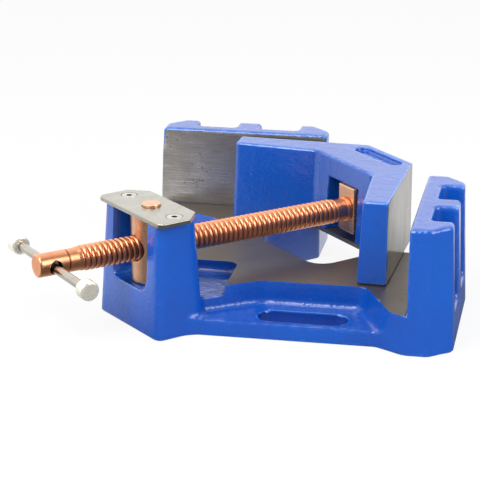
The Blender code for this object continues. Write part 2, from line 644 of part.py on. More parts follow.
def make_v_jaw(finish, steel, slide):
    """The moving V jaw with the pocket for the swivel block and the keeper plate under it."""
    levels = [[(x, y, V_BOTTOM) for x, y in v_plan(V_DRAFT)], [(x, y, V_TOP) for x, y in v_plan(0.0)]]
    jaw = add_object("moving_jaw", in_jaw(loft(levels)), finish, slide)
    front = V_WEB - 2 * V_DRAFT
    step = BLOCK_BACK - FLANGE_DEPTH - FIT
    top = POCKET_TOP
    side = [(front, V_BOTTOM - 1), (POCKET_BACK, V_BOTTOM - 1), (POCKET_BACK, top + FLANGE_RISE),
            (step, top + FLANGE_RISE), (step, top), (front, top)]
    pocket = loft([[(s, across, z) for s, z in side] for across in (-POCKET_HALF, POCKET_HALF)])
    combine(jaw, add_object("block_pocket", pocket, parent=slide), "DIFFERENCE")
    back = POCKET_BACK + 2.0
    corners = [(front - 2, -KEEPER_HALF - FIT), (back + FIT, -KEEPER_HALF - FIT),
               (back + FIT, KEEPER_HALF + FIT), (front - 2, KEEPER_HALF + FIT)]
    seat = prism(corners, V_BOTTOM - 1, KEEPER_TOP + FIT)
    combine(jaw, add_object("keeper_seat", seat, parent=slide), "DIFFERENCE")
    slot = prism(obround((V_TOP_SLOT_S, 0), V_TOP_SLOT_LENGTH / 2, V_TOP_SLOT_WIDTH / 2, (0, 1)),
                 V_TOP - V_TOP_SLOT_DEPTH, V_TOP + 1)
    combine(jaw, add_object("top_slot", slot, parent=slide), "DIFFERENCE")

    nose = V_WEB - V_DRAFT
    plate = [(nose, -KEEPER_HALF), (back, -KEEPER_HALF), (back, KEEPER_HALF), (nose, KEEPER_HALF)]
    keeper = add_object("keeper_plate", prism(plate, V_BOTTOM, KEEPER_TOP), steel, slide)
    middle = (nose + back) / 2
    for name, sign in (("left", 1), ("right", -1)):
        place = Vector((middle, sign * KEEPER_SCREW_E, 0)) * MM
        radius, head = KEEPER_SCREW_RADIUS, KEEPER_SCREW_HEAD
        cone = head - radius
        wide = [(head + FIT, V_BOTTOM - 1), (head + FIT, V_BOTTOM + 0.3), (radius + FIT, V_BOTTOM + 0.3 + cone),
                (radius + FIT, KEEPER_TOP + 1)]
        sink = add_object("keeper_sink_" + name, turned(wide, 16), parent=slide)
        hole = add_object("keeper_hole_" + name,
                          turned([(radius + FIT, V_BOTTOM - 1), (radius + FIT, V_BOTTOM + KEEPER_SCREW_LENGTH + FIT)], 12),
                          parent=slide)
        screw = turned([(head, V_BOTTOM), (head, V_BOTTOM + 0.3), (radius, V_BOTTOM + 0.3 + cone),
                        (radius, V_BOTTOM + KEEPER_SCREW_LENGTH)], 16)
        made = add_object("keeper_screw_" + name, screw, steel, slide)
        for piece in (sink, hole, made):
            piece.location = place
        combine(keeper, sink, "DIFFERENCE")
        combine(jaw, hole, "DIFFERENCE")
    return jaw


def build_vise():
    clear_scene()
    paint = material("blue_paint", (0.03, 0.12, 0.55), 0.35, 0.0)
    plated = material("plated_steel", (0.72, 0.70, 0.62), 0.30, 1.0)
    copper = material("copper_plate", (0.80, 0.42, 0.26), 0.28, 1.0)
    steel = material("bright_steel", (0.62, 0.60, 0.54), 0.25, 1.0)
    make_body(paint)
    make_top_plate(plated, steel)
    pivot = empty("nut_axis", (0, 0, 0), math.pi / 4 + SWING)
    slide = empty("jaw_slide", (0, -JAW_OFFSET, 0), 0.0, pivot)
    make_nut(copper, pivot)
    make_screw(copper, pivot)
    make_handle(steel, pivot)
    make_block(copper, steel, pivot)
    make_v_jaw(paint, steel, slide)


build_vise()
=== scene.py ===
# %% [markdown]
# # A welding vise, dressed for its portrait
#
# The solids of the vise come in as a fixed frame, in metres, standing on z = 0. This notebook
# gives them their cast, machined and plated surfaces, then sets the light and the camera.
# Shapes are written as distances in millimetres, because a caster thinks of a part as walls,
# roundings and draft, and a distance can be rounded or filleted by a formula.

import math

import bmesh
import bpy
import numpy as np
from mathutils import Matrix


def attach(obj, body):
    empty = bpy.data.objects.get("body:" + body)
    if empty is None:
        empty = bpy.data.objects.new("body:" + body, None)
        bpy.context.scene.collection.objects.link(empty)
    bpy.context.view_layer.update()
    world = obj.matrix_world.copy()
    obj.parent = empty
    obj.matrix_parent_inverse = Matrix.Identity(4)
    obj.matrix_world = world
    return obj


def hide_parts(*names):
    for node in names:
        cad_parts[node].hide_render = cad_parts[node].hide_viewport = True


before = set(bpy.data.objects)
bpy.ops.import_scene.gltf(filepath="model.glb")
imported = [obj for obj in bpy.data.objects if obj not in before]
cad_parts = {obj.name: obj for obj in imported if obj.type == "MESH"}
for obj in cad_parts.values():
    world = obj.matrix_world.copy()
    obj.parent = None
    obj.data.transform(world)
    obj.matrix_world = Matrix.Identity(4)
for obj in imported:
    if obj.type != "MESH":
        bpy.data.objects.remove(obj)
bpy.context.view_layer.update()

# %% [markdown]
# ## Sizes that the pieces share
#
# The solids' own values, in millimetres. Two of them follow the photograph more closely than the
# solids do: the rail slots are narrower here, and the window's corners are rounder. The swing
# is how far the screw has turned about its nut, which is why the moving jaw isn't square to
# the fixed ones.

# %% Shared sizes
MM = 0.001
ROOT2 = math.sqrt(2.0)
FIT = 0.3  # the running gap between two pieces
BED_Z, JAW_TOP, RAIL_Z, RECESS_Z, LEDGE_Z = 28.0, 88.0, 11.0, 20.0, 23.0
JAW_FACE, JAW_NEAR, JAW_FAR = 182.0, -33.0, 95.0
JAW_WALL, JAW_DEPTH, JAW_CHAMFER, END_DRAFT = 12.0, 27.5, 13.0, 3.0
RELIEF_WIDTH, RELIEF_DEPTH = 1.6, 1.0
RIB_WIDTH, RIB_GAP, POCKET_DRAFT = 18.0, 31.0, 1.5
RAIL_EDGE, RAIL_END, RAIL_FLARE = -24.0, 160.0, 20.0
HOLLOW_BACK, HOLLOW_START, HOLLOW_TURN, HOLLOW_END, HOLLOW_DRAFT = 16.5, 36.0, 74.0, 148.0, 5.0
RECESS_EDGE = 51.5
RAIL_SLOT_START, RAIL_SLOT_END, RAIL_SLOT_WIDTH, RAIL_SLOT_Y = 76.0, 139.0, 20.8, -6.5
SLOT_START, SLOT_HALF, SLOT_RADIUS = 114.5, 39.0, 14.0
TOWER_Z, TOWER_FRONT, TOWER_BACK, TOWER_HALF, TOWER_DRAFT = 80.5, 17.0, 16.0, 36.0, 4.0
SILL_Z, WINDOW_HALF, WINDOW_CORNER = 30.0, 22.5, 10.0
PLATE_LOW, PLATE_TOP, PLATE_HALF, PLATE_FRONT, PLATE_BACK = 80.8, 83.8, 41.0, 18.5, 17.5
PLATE_CHAMFER, PLATE_NICK, PLATE_SCREW_E, PLATE_SCREW_HEAD = 12.0, 3.0, 29.5, 5.5
NUT_RADIUS, JOURNAL_RADIUS, JOURNAL_DEPTH, JOURNAL_PROUD = 14.5, 6.5, 8.0, 1.8
SWING = math.radians(-3.5)
SCREW_Z, SCREW_RADIUS, THREAD_DEPTH, PITCH = 55.2, 9.0, 2.0, 4.0
THREAD_START, THREAD_END, HEAD_RADIUS = -61.0, 157.5, 8.0
HEAD_GROOVE, HEAD_GROOVE_WIDTH, BAR_S, HEAD_END = -67.0, 1.2, -76.8, -88.5
BAR_RADIUS, BAR_HOLE_RADIUS, BAR_HALF, KNOB_RADIUS, KNOB_LENGTH = 3.2, 5.5, 58.5, 6.8, 10.0
JAW_OFFSET = 8.0
V_FACE, V_NEAR, V_APEX, V_WEB = 165.5, 26.0, 290.7, 164.5
V_ARM, V_ARM_ROOT, V_DRAFT = 18.0, 23.6, 3.0
V_BOTTOM, V_SLOT_S, V_SLOT_HALF, V_SLOT_RADIUS, V_SLOT_DEPTH = 28.5, 195.0, 26.0, 6.0, 3.0
BLOCK_FRONT, BLOCK_BACK, BLOCK_HALF, BLOCK_LOW_Z, BLOCK_HIGH_Z = 161.5, 185.5, 10.0, 37.5, 72.0
FLANGE_START, FLANGE_RISE, SPINDLE_RADIUS = 176.5, 6.0, 6.0
POCKET_HALF, POCKET_BACK, POCKET_TOP = 19.5, 185.8, 72.3
KEEPER_HALF, KEEPER_TOP, KEEPER_LAP = 32.0, 31.5, 2.0
print("a jaw stands", JAW_TOP - BED_Z, "mm over the bed")

# %% [markdown]
# ## Distances, and how to round them
#
# A solid is a function that is negative inside and positive outside. Cutting one shape with
# another is the larger of two distances. Replacing that sharp corner by a quarter circle
# gives a rounded edge, and the same trick on the smaller of two gives a fillet.

# %% Distance helpers
def cut(a, b, radius):
    """What lies inside both a and b.  Near the shared edge both distances are over -radius, and the
    result is the length of (a + radius, b + radius), each at least 0, less the radius."""
    round_part = np.sqrt(np.maximum(a + radius, 0) ** 2 + np.maximum(b + radius, 0) ** 2)
    return np.minimum(np.maximum(a, b), -radius) + round_part


def join(a, b, radius):
    """What lies inside either, with a fillet: the mirror image of cut."""
    return -cut(-a, -b, radius)


def rounded(corners, steps=6):
    """An outline from (x, y, radius) corners.  Each radius becomes an arc about a centre on the
    corner's bisector, at radius / sin(half the corner's angle) from the corner."""
    points = []
    neighbours = zip(corners, corners[-1:] + corners[:-1], corners[1:] + corners[:1])
    for (x, y, radius), before, after in neighbours:
        here = np.array((x, y))
        if radius <= 0:
            points.append((x, y))
            continue
        back = np.array(before[:2]) - here
        ahead = np.array(after[:2]) - here
        back, ahead = back / np.linalg.norm(back), ahead / np.linalg.norm(ahead)
        half = math.acos(np.clip(back @ ahead, -1, 1)) / 2
        middle = (back + ahead) / np.linalg.norm(back + ahead)
        centre = here + middle * radius / math.sin(half)
        start = math.atan2(*(here + back * radius / math.tan(half) - centre)[::-1])
        stop = math.atan2(*(here + ahead * radius / math.tan(half) - centre)[::-1])
        sweep = (stop - start + math.pi) % (2 * math.pi) - math.pi
        angles = start + sweep * np.linspace(0, 1, steps + 1)
        points += [(centre[0] + radius * math.cos(t), centre[1] + radius * math.sin(t)) for t in angles]
    return points


def plan(x, y, points):
    """Distance in plan to a closed outline: the least distance to one of its sides, made negative
    where a line to the right crosses an odd number of sides."""
    least, inside = np.inf, False
    for (ax, ay), (bx, by) in zip(points, points[1:] + points[:1]):
        dx, dy = bx - ax, by - ay
        share = np.clip(((x - ax) * dx + (y - ay) * dy) / (dx * dx + dy * dy + 1e-12), 0, 1)
        least = np.minimum(least, (x - ax - share * dx) ** 2 + (y - ay - share * dy) ** 2)
        if ay != by:
            inside = inside ^ (((ay > y) != (by > y)) & (x < dx * (y - ay) / dy + ax))
    return np.where(inside, -1.0, 1.0) * np.sqrt(least)


def drafted(x, y, z, low, high, z_low, z_high):
    """A drafted wall: the distance to the lower outline turns evenly into that to the upper one."""
    share = np.clip((z - z_low) / (z_high - z_low), 0, 1)
    return plan(x, y, low) * (1 - share) + plan(x, y, high) * share


print("a 3 mm rounding takes", round(float(cut(0.0, 0.0, 3.0)), 2), "mm off a square corner")

# %% [markdown]
# ## From a distance to a surface
#
# The distance is worked out on a grid. Every grid edge that runs from inside to outside
# gives a point of the surface and the direction it faces. Each cell then gets the one vertex
# that lies best on all of its edges' planes, so flat faces stay flat and machined edges stay
# crisp, which an averaged surface would lose.

# %% The surface maker
def skin(distance, xs, ys, zs, reach=0.02, pull=0.03, slack=0.25):
    """Vertices and quads of the surface where distance is 0.  A cell's vertex is the least-squares
    meeting point of the tangent planes n . (v - p) = 0 at its crossings p.  It is pulled a little
    to their mean, and may leave its cell by slack of the cell's size.  Normals come from the
    change of distance over reach millimetres along each axis."""
    grid = [np.asarray(xs, float), np.asarray(ys, float), np.asarray(zs, float)]
    value = distance(grid[0][:, None, None], grid[1][None, :, None], grid[2][None, None, :])
    value = np.broadcast_to(value, [len(g) for g in grid])
    shape = value.shape
    # for each cell: 6 sums for the planes' matrix, 3 for their right side, 3 for the crossings'
    # places and 1 for their number
    sums = np.zeros((13, value.size))
    crossings = []
    pairs = ((0, 0), (0, 1), (0, 2), (1, 1), (1, 2), (2, 2))
    for axis in range(3):
        before = tuple(slice(0, -1) if n == axis else slice(None) for n in range(3))
        after = tuple(slice(1, None) if n == axis else slice(None) for n in range(3))
        here, there = value[before], value[after]
        index = np.array(np.nonzero((here < 0) != (there < 0)))
        start, stop = here[tuple(index)], there[tuple(index)]
        point = np.stack([g[n] for g, n in zip(grid, index)], 1)
        length = grid[axis][index[axis] + 1] - grid[axis][index[axis]]
        point[:, axis] += length * start / (start - stop)
        level = distance(*point.T)
        moved = [distance(*(point + reach * side).T) for side in np.eye(3)]
        normal = np.stack([other - level for other in moved], 1) / reach
        normal /= np.maximum(np.linalg.norm(normal, axis=1, keepdims=True), 1e-9)
        point -= level[:, None] * normal
        offset = np.einsum("ij,ij->i", normal, point)
        weights = [normal[:, a] * normal[:, b] for a, b in pairs]
        weights += [normal[:, n] * offset for n in range(3)]
        weights += [point[:, n] for n in range(3)] + [np.ones(len(point))]
        others = [(axis + 1) % 3, (axis + 2) % 3]
        ring = []
        for a, b in ((-1, -1), (0, -1), (0, 0), (-1, 0)):
            cell = index.copy()
            cell[others[0]] += a
            cell[others[1]] += b
            flat = np.ravel_multi_index(tuple(cell), shape, mode="clip")
            ring.append(flat)
            for row, weight in zip(sums, weights):
                row += np.bincount(flat, weight, value.size)
        crossings.append((np.stack(ring, 1), start < 0))
    used = np.nonzero(sums[12])[0]
    terms = sums[:, used]
    matrix = terms[[0, 1, 2, 1, 3, 4, 2, 4, 5]].T.reshape(-1, 3, 3) + pull * np.eye(3)
    mean = (terms[9:12] / terms[12]).T
    rest = terms[6:9].T - np.einsum("nij,nj->ni", matrix - pull * np.eye(3), mean)
    vertex = mean + np.linalg.solve(matrix, rest[..., None])[..., 0]
    corner = np.array(np.unravel_index(used, shape))
    for n in range(3):
        floor = grid[n][corner[n]]
        roof = grid[n][np.minimum(corner[n] + 1, shape[n] - 1)]
        over = slack * (roof - floor)
        vertex[:, n] = np.clip(vertex[:, n], floor - over, roof + over)
    place = np.full(value.size, -1)
    place[used] = np.arange(len(used))
    quads = np.concatenate([np.where(out[:, None], ring, ring[:, ::-1]) for ring, out in crossings])
    return vertex, place[quads]


def finer(start, stop, step, *places):
    """Grid lines from start to stop, with two close ones beside each place that must stay crisp."""
    lines = np.arange(start, stop + step, step)
    for place in places:
        lines = lines[np.abs(lines - place) > 0.6 * step]
        lines = np.append(lines, (place - 0.3 * step, place + 0.3 * step))
    return np.sort(lines)


def span(low, high, step, *places):
    """Grid lines a little past both ends."""
    return finer(low - 1.5 * step, high + step, step, *places)


print("grid lines beside a crisp edge at 5 mm:", np.round(finer(0.0, 8.0, 2.0, 5.0), 1).tolist())

# %% How convex a surface is
def curvature(mesh, shortest=0.2):
    """How convex the surface is at each vertex, per millimetre.  Along an edge from p to q with normals
    m and n it is (n - m) . (q - p) / |q - p| squared, and a vertex takes the mean of its edges.
    Edges under the shortest length, in millimetres, count as that long."""
    count = len(mesh.vertices)
    place, normal = np.empty(count * 3), np.empty(count * 3)
    mesh.vertices.foreach_get("co", place)
    mesh.vertices.foreach_get("normal", normal)
    ends = np.empty(len(mesh.edges) * 2, int)
    mesh.edges.foreach_get("vertices", ends)
    place, normal, ends = place.reshape(-1, 3) / MM, normal.reshape(-1, 3), ends.reshape(-1, 2)
    step, bend = place[ends[:, 1]] - place[ends[:, 0]], normal[ends[:, 1]] - normal[ends[:, 0]]
    length_squared = np.maximum(np.einsum("ij,ij->i", step, step), shortest * shortest)
    value = np.einsum("ij,ij->i", bend, step) / length_squared
    total = sum(np.bincount(ends[:, n], value, count) for n in (0, 1))
    met = sum(np.bincount(ends[:, n], minlength=count) for n in (0, 1))
    return total / np.maximum(met, 1)


# %% From arrays to a piece
def add_piece(name, vertices, faces, material, sharp=40.0):
    """A mesh object at the origin from vertices in millimetres and faces given by their corners.  Its
    curvature is kept in the attribute "edge", which the finishes read for wear, for painted
    highlights on edges and for painted shade in corners."""
    mesh = bpy.data.meshes.new(name)
    faces = faces.tolist() if isinstance(faces, np.ndarray) else faces
    mesh.from_pydata((np.asarray(vertices) * MM).tolist(), [], faces)
    mesh.validate()
    shape = bmesh.new()
    shape.from_mesh(mesh)
    bmesh.ops.recalc_face_normals(shape, faces=shape.faces)
    shape.to_mesh(mesh)
    shape.free()
    mesh.materials.append(material)
    mesh.shade_smooth()
    mesh.attributes.new("edge", "FLOAT", "POINT").data.foreach_set("value", curvature(mesh))
    mesh.set_sharp_from_angle(angle=math.radians(sharp))
    piece = bpy.data.objects.new(name, mesh)
    bpy.context.collection.objects.link(piece)
    triangles = sum(len(face.vertices) - 2 for face in mesh.polygons)
    print(name, len(mesh.vertices), "vertices,", triangles, "triangles")
    return piece


def turn(points, angle):
    """Points turned about the vertical through the origin."""
    c, s = math.cos(angle), math.sin(angle)
    x, y, z = np.asarray(points, float).T
    return np.stack([c * x - s * y, s * x + c * y, z], 1)


def turn_plan(point, angle):
    """One plan direction or point turned about the origin."""
    c, s = math.cos(angle), math.sin(angle)
    return c * point[0] - s * point[1], s * point[0] + c * point[1]


def dress(piece, body, slot, *nodes):
    """The piece rides on its body and stands for its CAD nodes, which are hidden.  The slot is not
    used.
    """
    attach(piece, body)
    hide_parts(*nodes)


# %% [markdown]
# ## Finishes
#
# The vise shows five finishes: glossy blue paint over rough cast iron, bare machined iron, copper
# plate, zinc plate and bright steel. Each is a Principled shader. What changes over a surface,
# such as the grain of the casting or the lay a cutter leaves, comes from shared node groups that
# hand out only heights and tones, so the same grain can serve the paint and the iron under it.

# %% Node helpers
def node(tree, kind, inputs=(), **values):
    """A new node with its properties set by name, and its inputs set to numbers or linked."""
    made = tree.nodes.new(kind)
    for key, value in values.items():
        setattr(made, key, value)
    for place, value in dict(inputs).items():
        if isinstance(value, bpy.types.NodeSocket):
            tree.links.new(value, made.inputs[place])
        else:
            made.inputs[place].default_value = value
    return made


def math_node(tree, operation, *values):
    """The output of one Math node."""
    return node(tree, "ShaderNodeMath", dict(enumerate(values)), operation=operation).outputs[0]


def times(tree, one, two):
    """The product of two values."""
    return math_node(tree, "MULTIPLY", one, two)


def dot(tree, one, two):
    """How far the vector one reaches along two, when two is 1 long."""
    made = node(tree, "ShaderNodeVectorMath", {0: one, 1: two}, operation="DOT_PRODUCT")
    return made.outputs["Value"]


def stretch(tree, place, factors):
    """A position with each of its coordinates multiplied by its own factor."""
    return node(tree, "ShaderNodeVectorMath", {0: place, 1: factors}, operation="MULTIPLY").outputs[0]


def split(tree, vector):
    """The X, Y and Z of a vector, by name."""
    return node(tree, "ShaderNodeSeparateXYZ", {0: vector}).outputs


def noise(tree, place, scale, detail, roughness=0.5):
    """A cloudy value around 0.5.  Its waves are 1 / scale wide, with detail finer layers on top."""
    sockets = {"Vector": place, "Scale": scale, "Detail": detail, "Roughness": roughness}
    return node(tree, "ShaderNodeTexNoise", sockets).outputs[0]


def blend_colour(tree, share, one, two):
    """The colour one where share is 0 and two where it is 1.  A Mix node's colours are its sockets
    6 and 7, and its colour result is output 2."""
    return node(tree, "ShaderNodeMix", {0: share, 6: one, 7: two}, data_type="RGBA").outputs[2]


def blend_value(tree, share, one, two):
    """The number one where share is 0 and two where it is 1."""
    return node(tree, "ShaderNodeMix", {0: share, 2: one, 3: two}, data_type="FLOAT").outputs[0]


def ramp(tree, value, low, high, out_low=0.0, out_high=1.0):
    """The value spread from low..high to out_low..out_high, held at both ends."""
    sockets = {0: value, 1: low, 2: high, 3: out_low, 4: out_high}
    return node(tree, "ShaderNodeMapRange", sockets).outputs[0]


def bump(tree, height):
    """A normal bent by a height given in metres."""
    made = node(tree, "ShaderNodeBump", {"Height": height, "Strength": 1.0, "Distance": 1.0})
    return made.outputs["Normal"]


print("node helpers ready")

# %% Groups and materials
def start_group(name, inputs, outputs):
    """An empty node group with named sockets, its input node and its output node."""
    tree = bpy.data.node_groups.new(name, "ShaderNodeTree")
    for label, kind in inputs:
        tree.interface.new_socket(label, in_out="INPUT", socket_type=kind)
    for label, kind in outputs:
        tree.interface.new_socket(label, in_out="OUTPUT", socket_type=kind)
    return tree, tree.nodes.new("NodeGroupInput"), tree.nodes.new("NodeGroupOutput")


def use_group(tree, group, **inputs):
    """A group placed in a material with its own values."""
    return node(tree, "ShaderNodeGroup", inputs, node_tree=group)


def start_material(name, **sockets):
    """A material with one Principled shader, its constant values set on its own sockets."""
    made = bpy.data.materials.new(name)
    made.use_nodes = True
    shader = made.node_tree.nodes["Principled BSDF"]
    for key, value in sockets.items():
        shader.inputs[key.replace("_", " ")].default_value = value
    return made, made.node_tree, shader


def connect(tree, shader, **sockets):
    """Links that feed the shader's sockets by name."""
    for key, value in sockets.items():
        tree.links.new(value, shader.inputs[key.replace("_", " ")])


# %% [markdown]
# ## Shared effects
#
# Cast iron keeps the grain of its sand mould: lumps a few millimetres wide under a finer grain,
# and here and there a pit. Paint fills the finest of it, which leaves the soft waviness known as
# orange peel. A cutter or a grinding wheel leaves fine parallel scratches, called the lay, and
# opens the iron's pores as dark specks. Handling leaves faint stains on plated metal.

# %% The grain of the casting
def make_cast_grain():
    """Height = fine waves + wide lumps - pits; tone = slow drift between 0 and 1."""
    tree, given, result = start_group(
        "cast_grain", [("Position", "NodeSocketVector"), ("Lumps", "NodeSocketFloat")],
        [("Height", "NodeSocketFloat"), ("Tone", "NodeSocketFloat")])
    place = given.outputs["Position"]
    fine = noise(tree, place, 520.0, 2.0)
    wide = noise(tree, place, 150.0, 3.0)
    cells = node(tree, "ShaderNodeTexVoronoi", {"Vector": place, "Scale": 110.0}).outputs["Distance"]
    pits = ramp(tree, cells, 0.05, 0.18, 1.0, 0.0)
    drift = noise(tree, place, 18.0, 3.0)
    lumps = times(tree, wide, given.outputs["Lumps"])
    height = math_node(tree, "MULTIPLY_ADD", fine, 0.35, lumps)
    height = math_node(tree, "MULTIPLY_ADD", pits, -0.25, height)
    tree.links.new(height, result.inputs["Height"])
    tree.links.new(ramp(tree, drift, 0.3, 0.7), result.inputs["Tone"])
    return tree


# %% The lay of machined iron
def make_machined_lay():
    """Noise stretched along the cut gives the scratches: its scale is small along them and large
    across.  Pores are the near parts of scattered cells, kept only where a wider noise is high."""
    tree, given, result = start_group(
        "machined_lay", [("Position", "NodeSocketVector"), ("Along", "NodeSocketVector")],
        [("Height", "NodeSocketFloat"), ("Tone", "NodeSocketFloat"), ("Pores", "NodeSocketFloat")])
    place = given.outputs["Position"]
    scratches = noise(tree, stretch(tree, place, given.outputs["Along"]), 1.0, 4.0, 0.65)
    blotch = noise(tree, place, 26.0, 5.0, 0.6)
    cells = node(tree, "ShaderNodeTexVoronoi", {"Vector": place, "Scale": 260.0}).outputs["Distance"]
    where = ramp(tree, noise(tree, place, 40.0, 2.0), 0.52, 0.62)
    pores = times(tree, ramp(tree, cells, 0.10, 0.22, 1.0, 0.0), where)
    tone = math_node(tree, "MULTIPLY_ADD", scratches, 0.5, times(tree, blotch, 0.5))
    tree.links.new(math_node(tree, "MULTIPLY_ADD", pores, -0.6, scratches), result.inputs["Height"])
    tree.links.new(ramp(tree, tone, 0.34, 0.66), result.inputs["Tone"])
    tree.links.new(pores, result.inputs["Pores"])
    return tree


# %% Wear along edges, and shade painted into corners
def make_edge_wear_and_shade():
    """The curvature attribute, broken up by noise, gives a mask of rubbed convex edges and a mask
    of concave corners, darkened both for dust and thick paint and as painted shade."""
    tree, given, result = start_group(
        "edge_wear_and_shade", [("Position", "NodeSocketVector"), ("Edge", "NodeSocketFloat")],
        [("Rubbed", "NodeSocketFloat"), ("Corner_dust_and_shade", "NodeSocketFloat")])
    broken = noise(tree, given.outputs["Position"], 180.0, 4.0)
    lifted = math_node(tree, "MULTIPLY_ADD", broken, 0.5, given.outputs["Edge"])
    tree.links.new(ramp(tree, lifted, 0.39, 0.52), result.inputs["Rubbed"])
    tree.links.new(ramp(tree, given.outputs["Edge"], -0.08, -0.45), result.inputs["Corner_dust_and_shade"])
    return tree


# %% Turning marks and stains
def make_turned_marks():
    """Rings a lathe tool leaves: noise that varies quickly along the axis (X of Position) and hardly
    round it.  Stain is a slow cloudy tone for handled plating."""
    tree, given, result = start_group(
        "turned_marks", [("Position", "NodeSocketVector")],
        [("Height", "NodeSocketFloat"), ("Stain", "NodeSocketFloat")])
    place = given.outputs["Position"]
    height = noise(tree, stretch(tree, place, (1800.0, 60.0, 60.0)), 1.0, 3.0)
    cloud = noise(tree, place, 95.0, 5.0, 0.7)
    tree.links.new(height, result.inputs["Height"])
    tree.links.new(ramp(tree, cloud, 0.35, 0.68), result.inputs["Stain"])
    return tree


cast_grain, machined_lay = make_cast_grain(), make_machined_lay()
edge_wear_and_shade, turned_marks = make_edge_wear_and_shade(), make_turned_marks()
print("shared effects:", [g.name for g in bpy.data.node_groups])

# %% [markdown]
# ## Paint over iron, with the milled faces left bare
#
# The maker paints the whole casting and then mills the bed and the jaw faces, so the line between
# blue and grey lies exactly on the edge of each milled plane. A mask that is 1 only where the
# position lies on such a plane, and the surface faces its way, gives that line without any seam
# in the mesh.

# %% Painted castings
JAW_IRON = (0.50, 0.475, 0.44, 1)
# The V jaw's milled faces are the same iron as the fixed jaws' faces, painted darker as shade for the
# dark reflections they show
SHADED_V_IRON = (0.165, 0.15, 0.13, 1)
BED_IRON = (0.165, 0.140, 0.120, 1)
STAINED_IRON = (0.13, 0.105, 0.085, 1)
PORE = (0.03, 0.025, 0.02, 1)
# A near black painted as the shadow along a casting's foot
FOOT_SHADOW = (0.012, 0.010, 0.010, 1)
PAINT = (0.004, 0.094, 0.50, 1)
# A light blue for thinly worn paint and for painted highlights on upward edges and slot rims
THIN_PAINT_AND_HIGHLIGHT = (0.100, 0.330, 0.86, 1)
# A dark blue for thick paint and for painted shade in corners and rail slots
THICK_PAINT_AND_SHADE = (0.002, 0.040, 0.33, 1)
GRAIN_HEIGHT, LAY_HEIGHT = 0.0006, 0.00006  # metres
PLANE_DEPTH = 0.09  # millimetres either side of a milled plane that still count as on it


def on_plane(tree, spot, direction, distance, tolerance):
    """1 where the position lies within tolerance of the plane at that distance along direction, and
    the surface there faces within about 25 degrees of that direction."""
    along = dot(tree, spot.outputs["Object"], direction)
    facing = dot(tree, spot.outputs["Normal"], direction)
    level = math_node(tree, "COMPARE", along, distance, tolerance)
    return times(tree, level, math_node(tree, "GREATER_THAN", facing, 0.9))


def slot_masks(tree, parts):
    """1 inside the rail slots, where shade is painted, and 1 on the far rim of each, where a
    highlight is painted.  The smaller of X and Y runs across either rail and the larger runs
    along it, so one mask serves both."""
    across = math_node(tree, "MINIMUM", parts["X"], parts["Y"])
    along = math_node(tree, "MAXIMUM", parts["X"], parts["Y"])
    half = RAIL_SLOT_WIDTH / 2
    off = math_node(tree, "SUBTRACT", across, RAIL_SLOT_Y * MM)
    from_middle = math_node(tree, "ABSOLUTE", off)
    inside = ramp(tree, from_middle, (half + 0.2) * MM, (half + 0.9) * MM, 1.0, 0.0)
    low = ramp(tree, parts["Z"], (RAIL_Z - 1.4) * MM, (RAIL_Z - 0.4) * MM, 1.0, 0.0)
    past_tower = math_node(tree, "GREATER_THAN", along, RAIL_SLOT_START * MM)
    from_rim = math_node(tree, "ABSOLUTE", math_node(tree, "SUBTRACT", off, (half + 0.8) * MM))
    rim = ramp(tree, from_rim, 0.3 * MM, 0.9 * MM, 1.0, 0.0)
    high = ramp(tree, parts["Z"], (RAIL_Z - 1.0) * MM, (RAIL_Z - 0.6) * MM)
    straight = math_node(tree, "COMPARE", along, (RAIL_SLOT_START + RAIL_SLOT_END) / 2 * MM,
                         (RAIL_SLOT_END - RAIL_SLOT_START - RAIL_SLOT_WIDTH / 2) / 2 * MM)
    shade = times(tree, times(tree, inside, low), past_tower)
    return shade, times(tree, times(tree, rim, high), straight)


def milled_iron(tree, spot, planes):
    """Where the planes lie, and the colour, tone, height and roughness of the iron on them.  Each
    plane is a direction, a distance, its iron, how rough that is, and the scale of its lay."""
    bare, tone, height, pores, iron, dull = 0.0, 0.5, 0.5, 0.0, JAW_IRON, 0.2
    for direction, distance, colour, rough, lay in planes:
        mask = on_plane(tree, spot, direction, distance * MM, PLANE_DEPTH * MM)
        cutter = use_group(tree, machined_lay, Position=spot.outputs["Object"], Along=lay)
        bare = math_node(tree, "MAXIMUM", bare, mask)
        tone = blend_value(tree, mask, tone, cutter.outputs["Tone"])
        height = blend_value(tree, mask, height, cutter.outputs["Height"])
        pores = blend_value(tree, mask, pores, cutter.outputs["Pores"])
        iron = blend_colour(tree, mask, iron, colour)
        dull = blend_value(tree, mask, dull, rough)
    iron = blend_colour(tree, ramp(tree, tone, 0.25, 1.0, 0.0, 0.6), iron, STAINED_IRON)
    iron = blend_colour(tree, times(tree, pores, 0.8), iron, PORE)
    return bare, iron, height, math_node(tree, "MULTIPLY_ADD", tone, 0.14, dull)


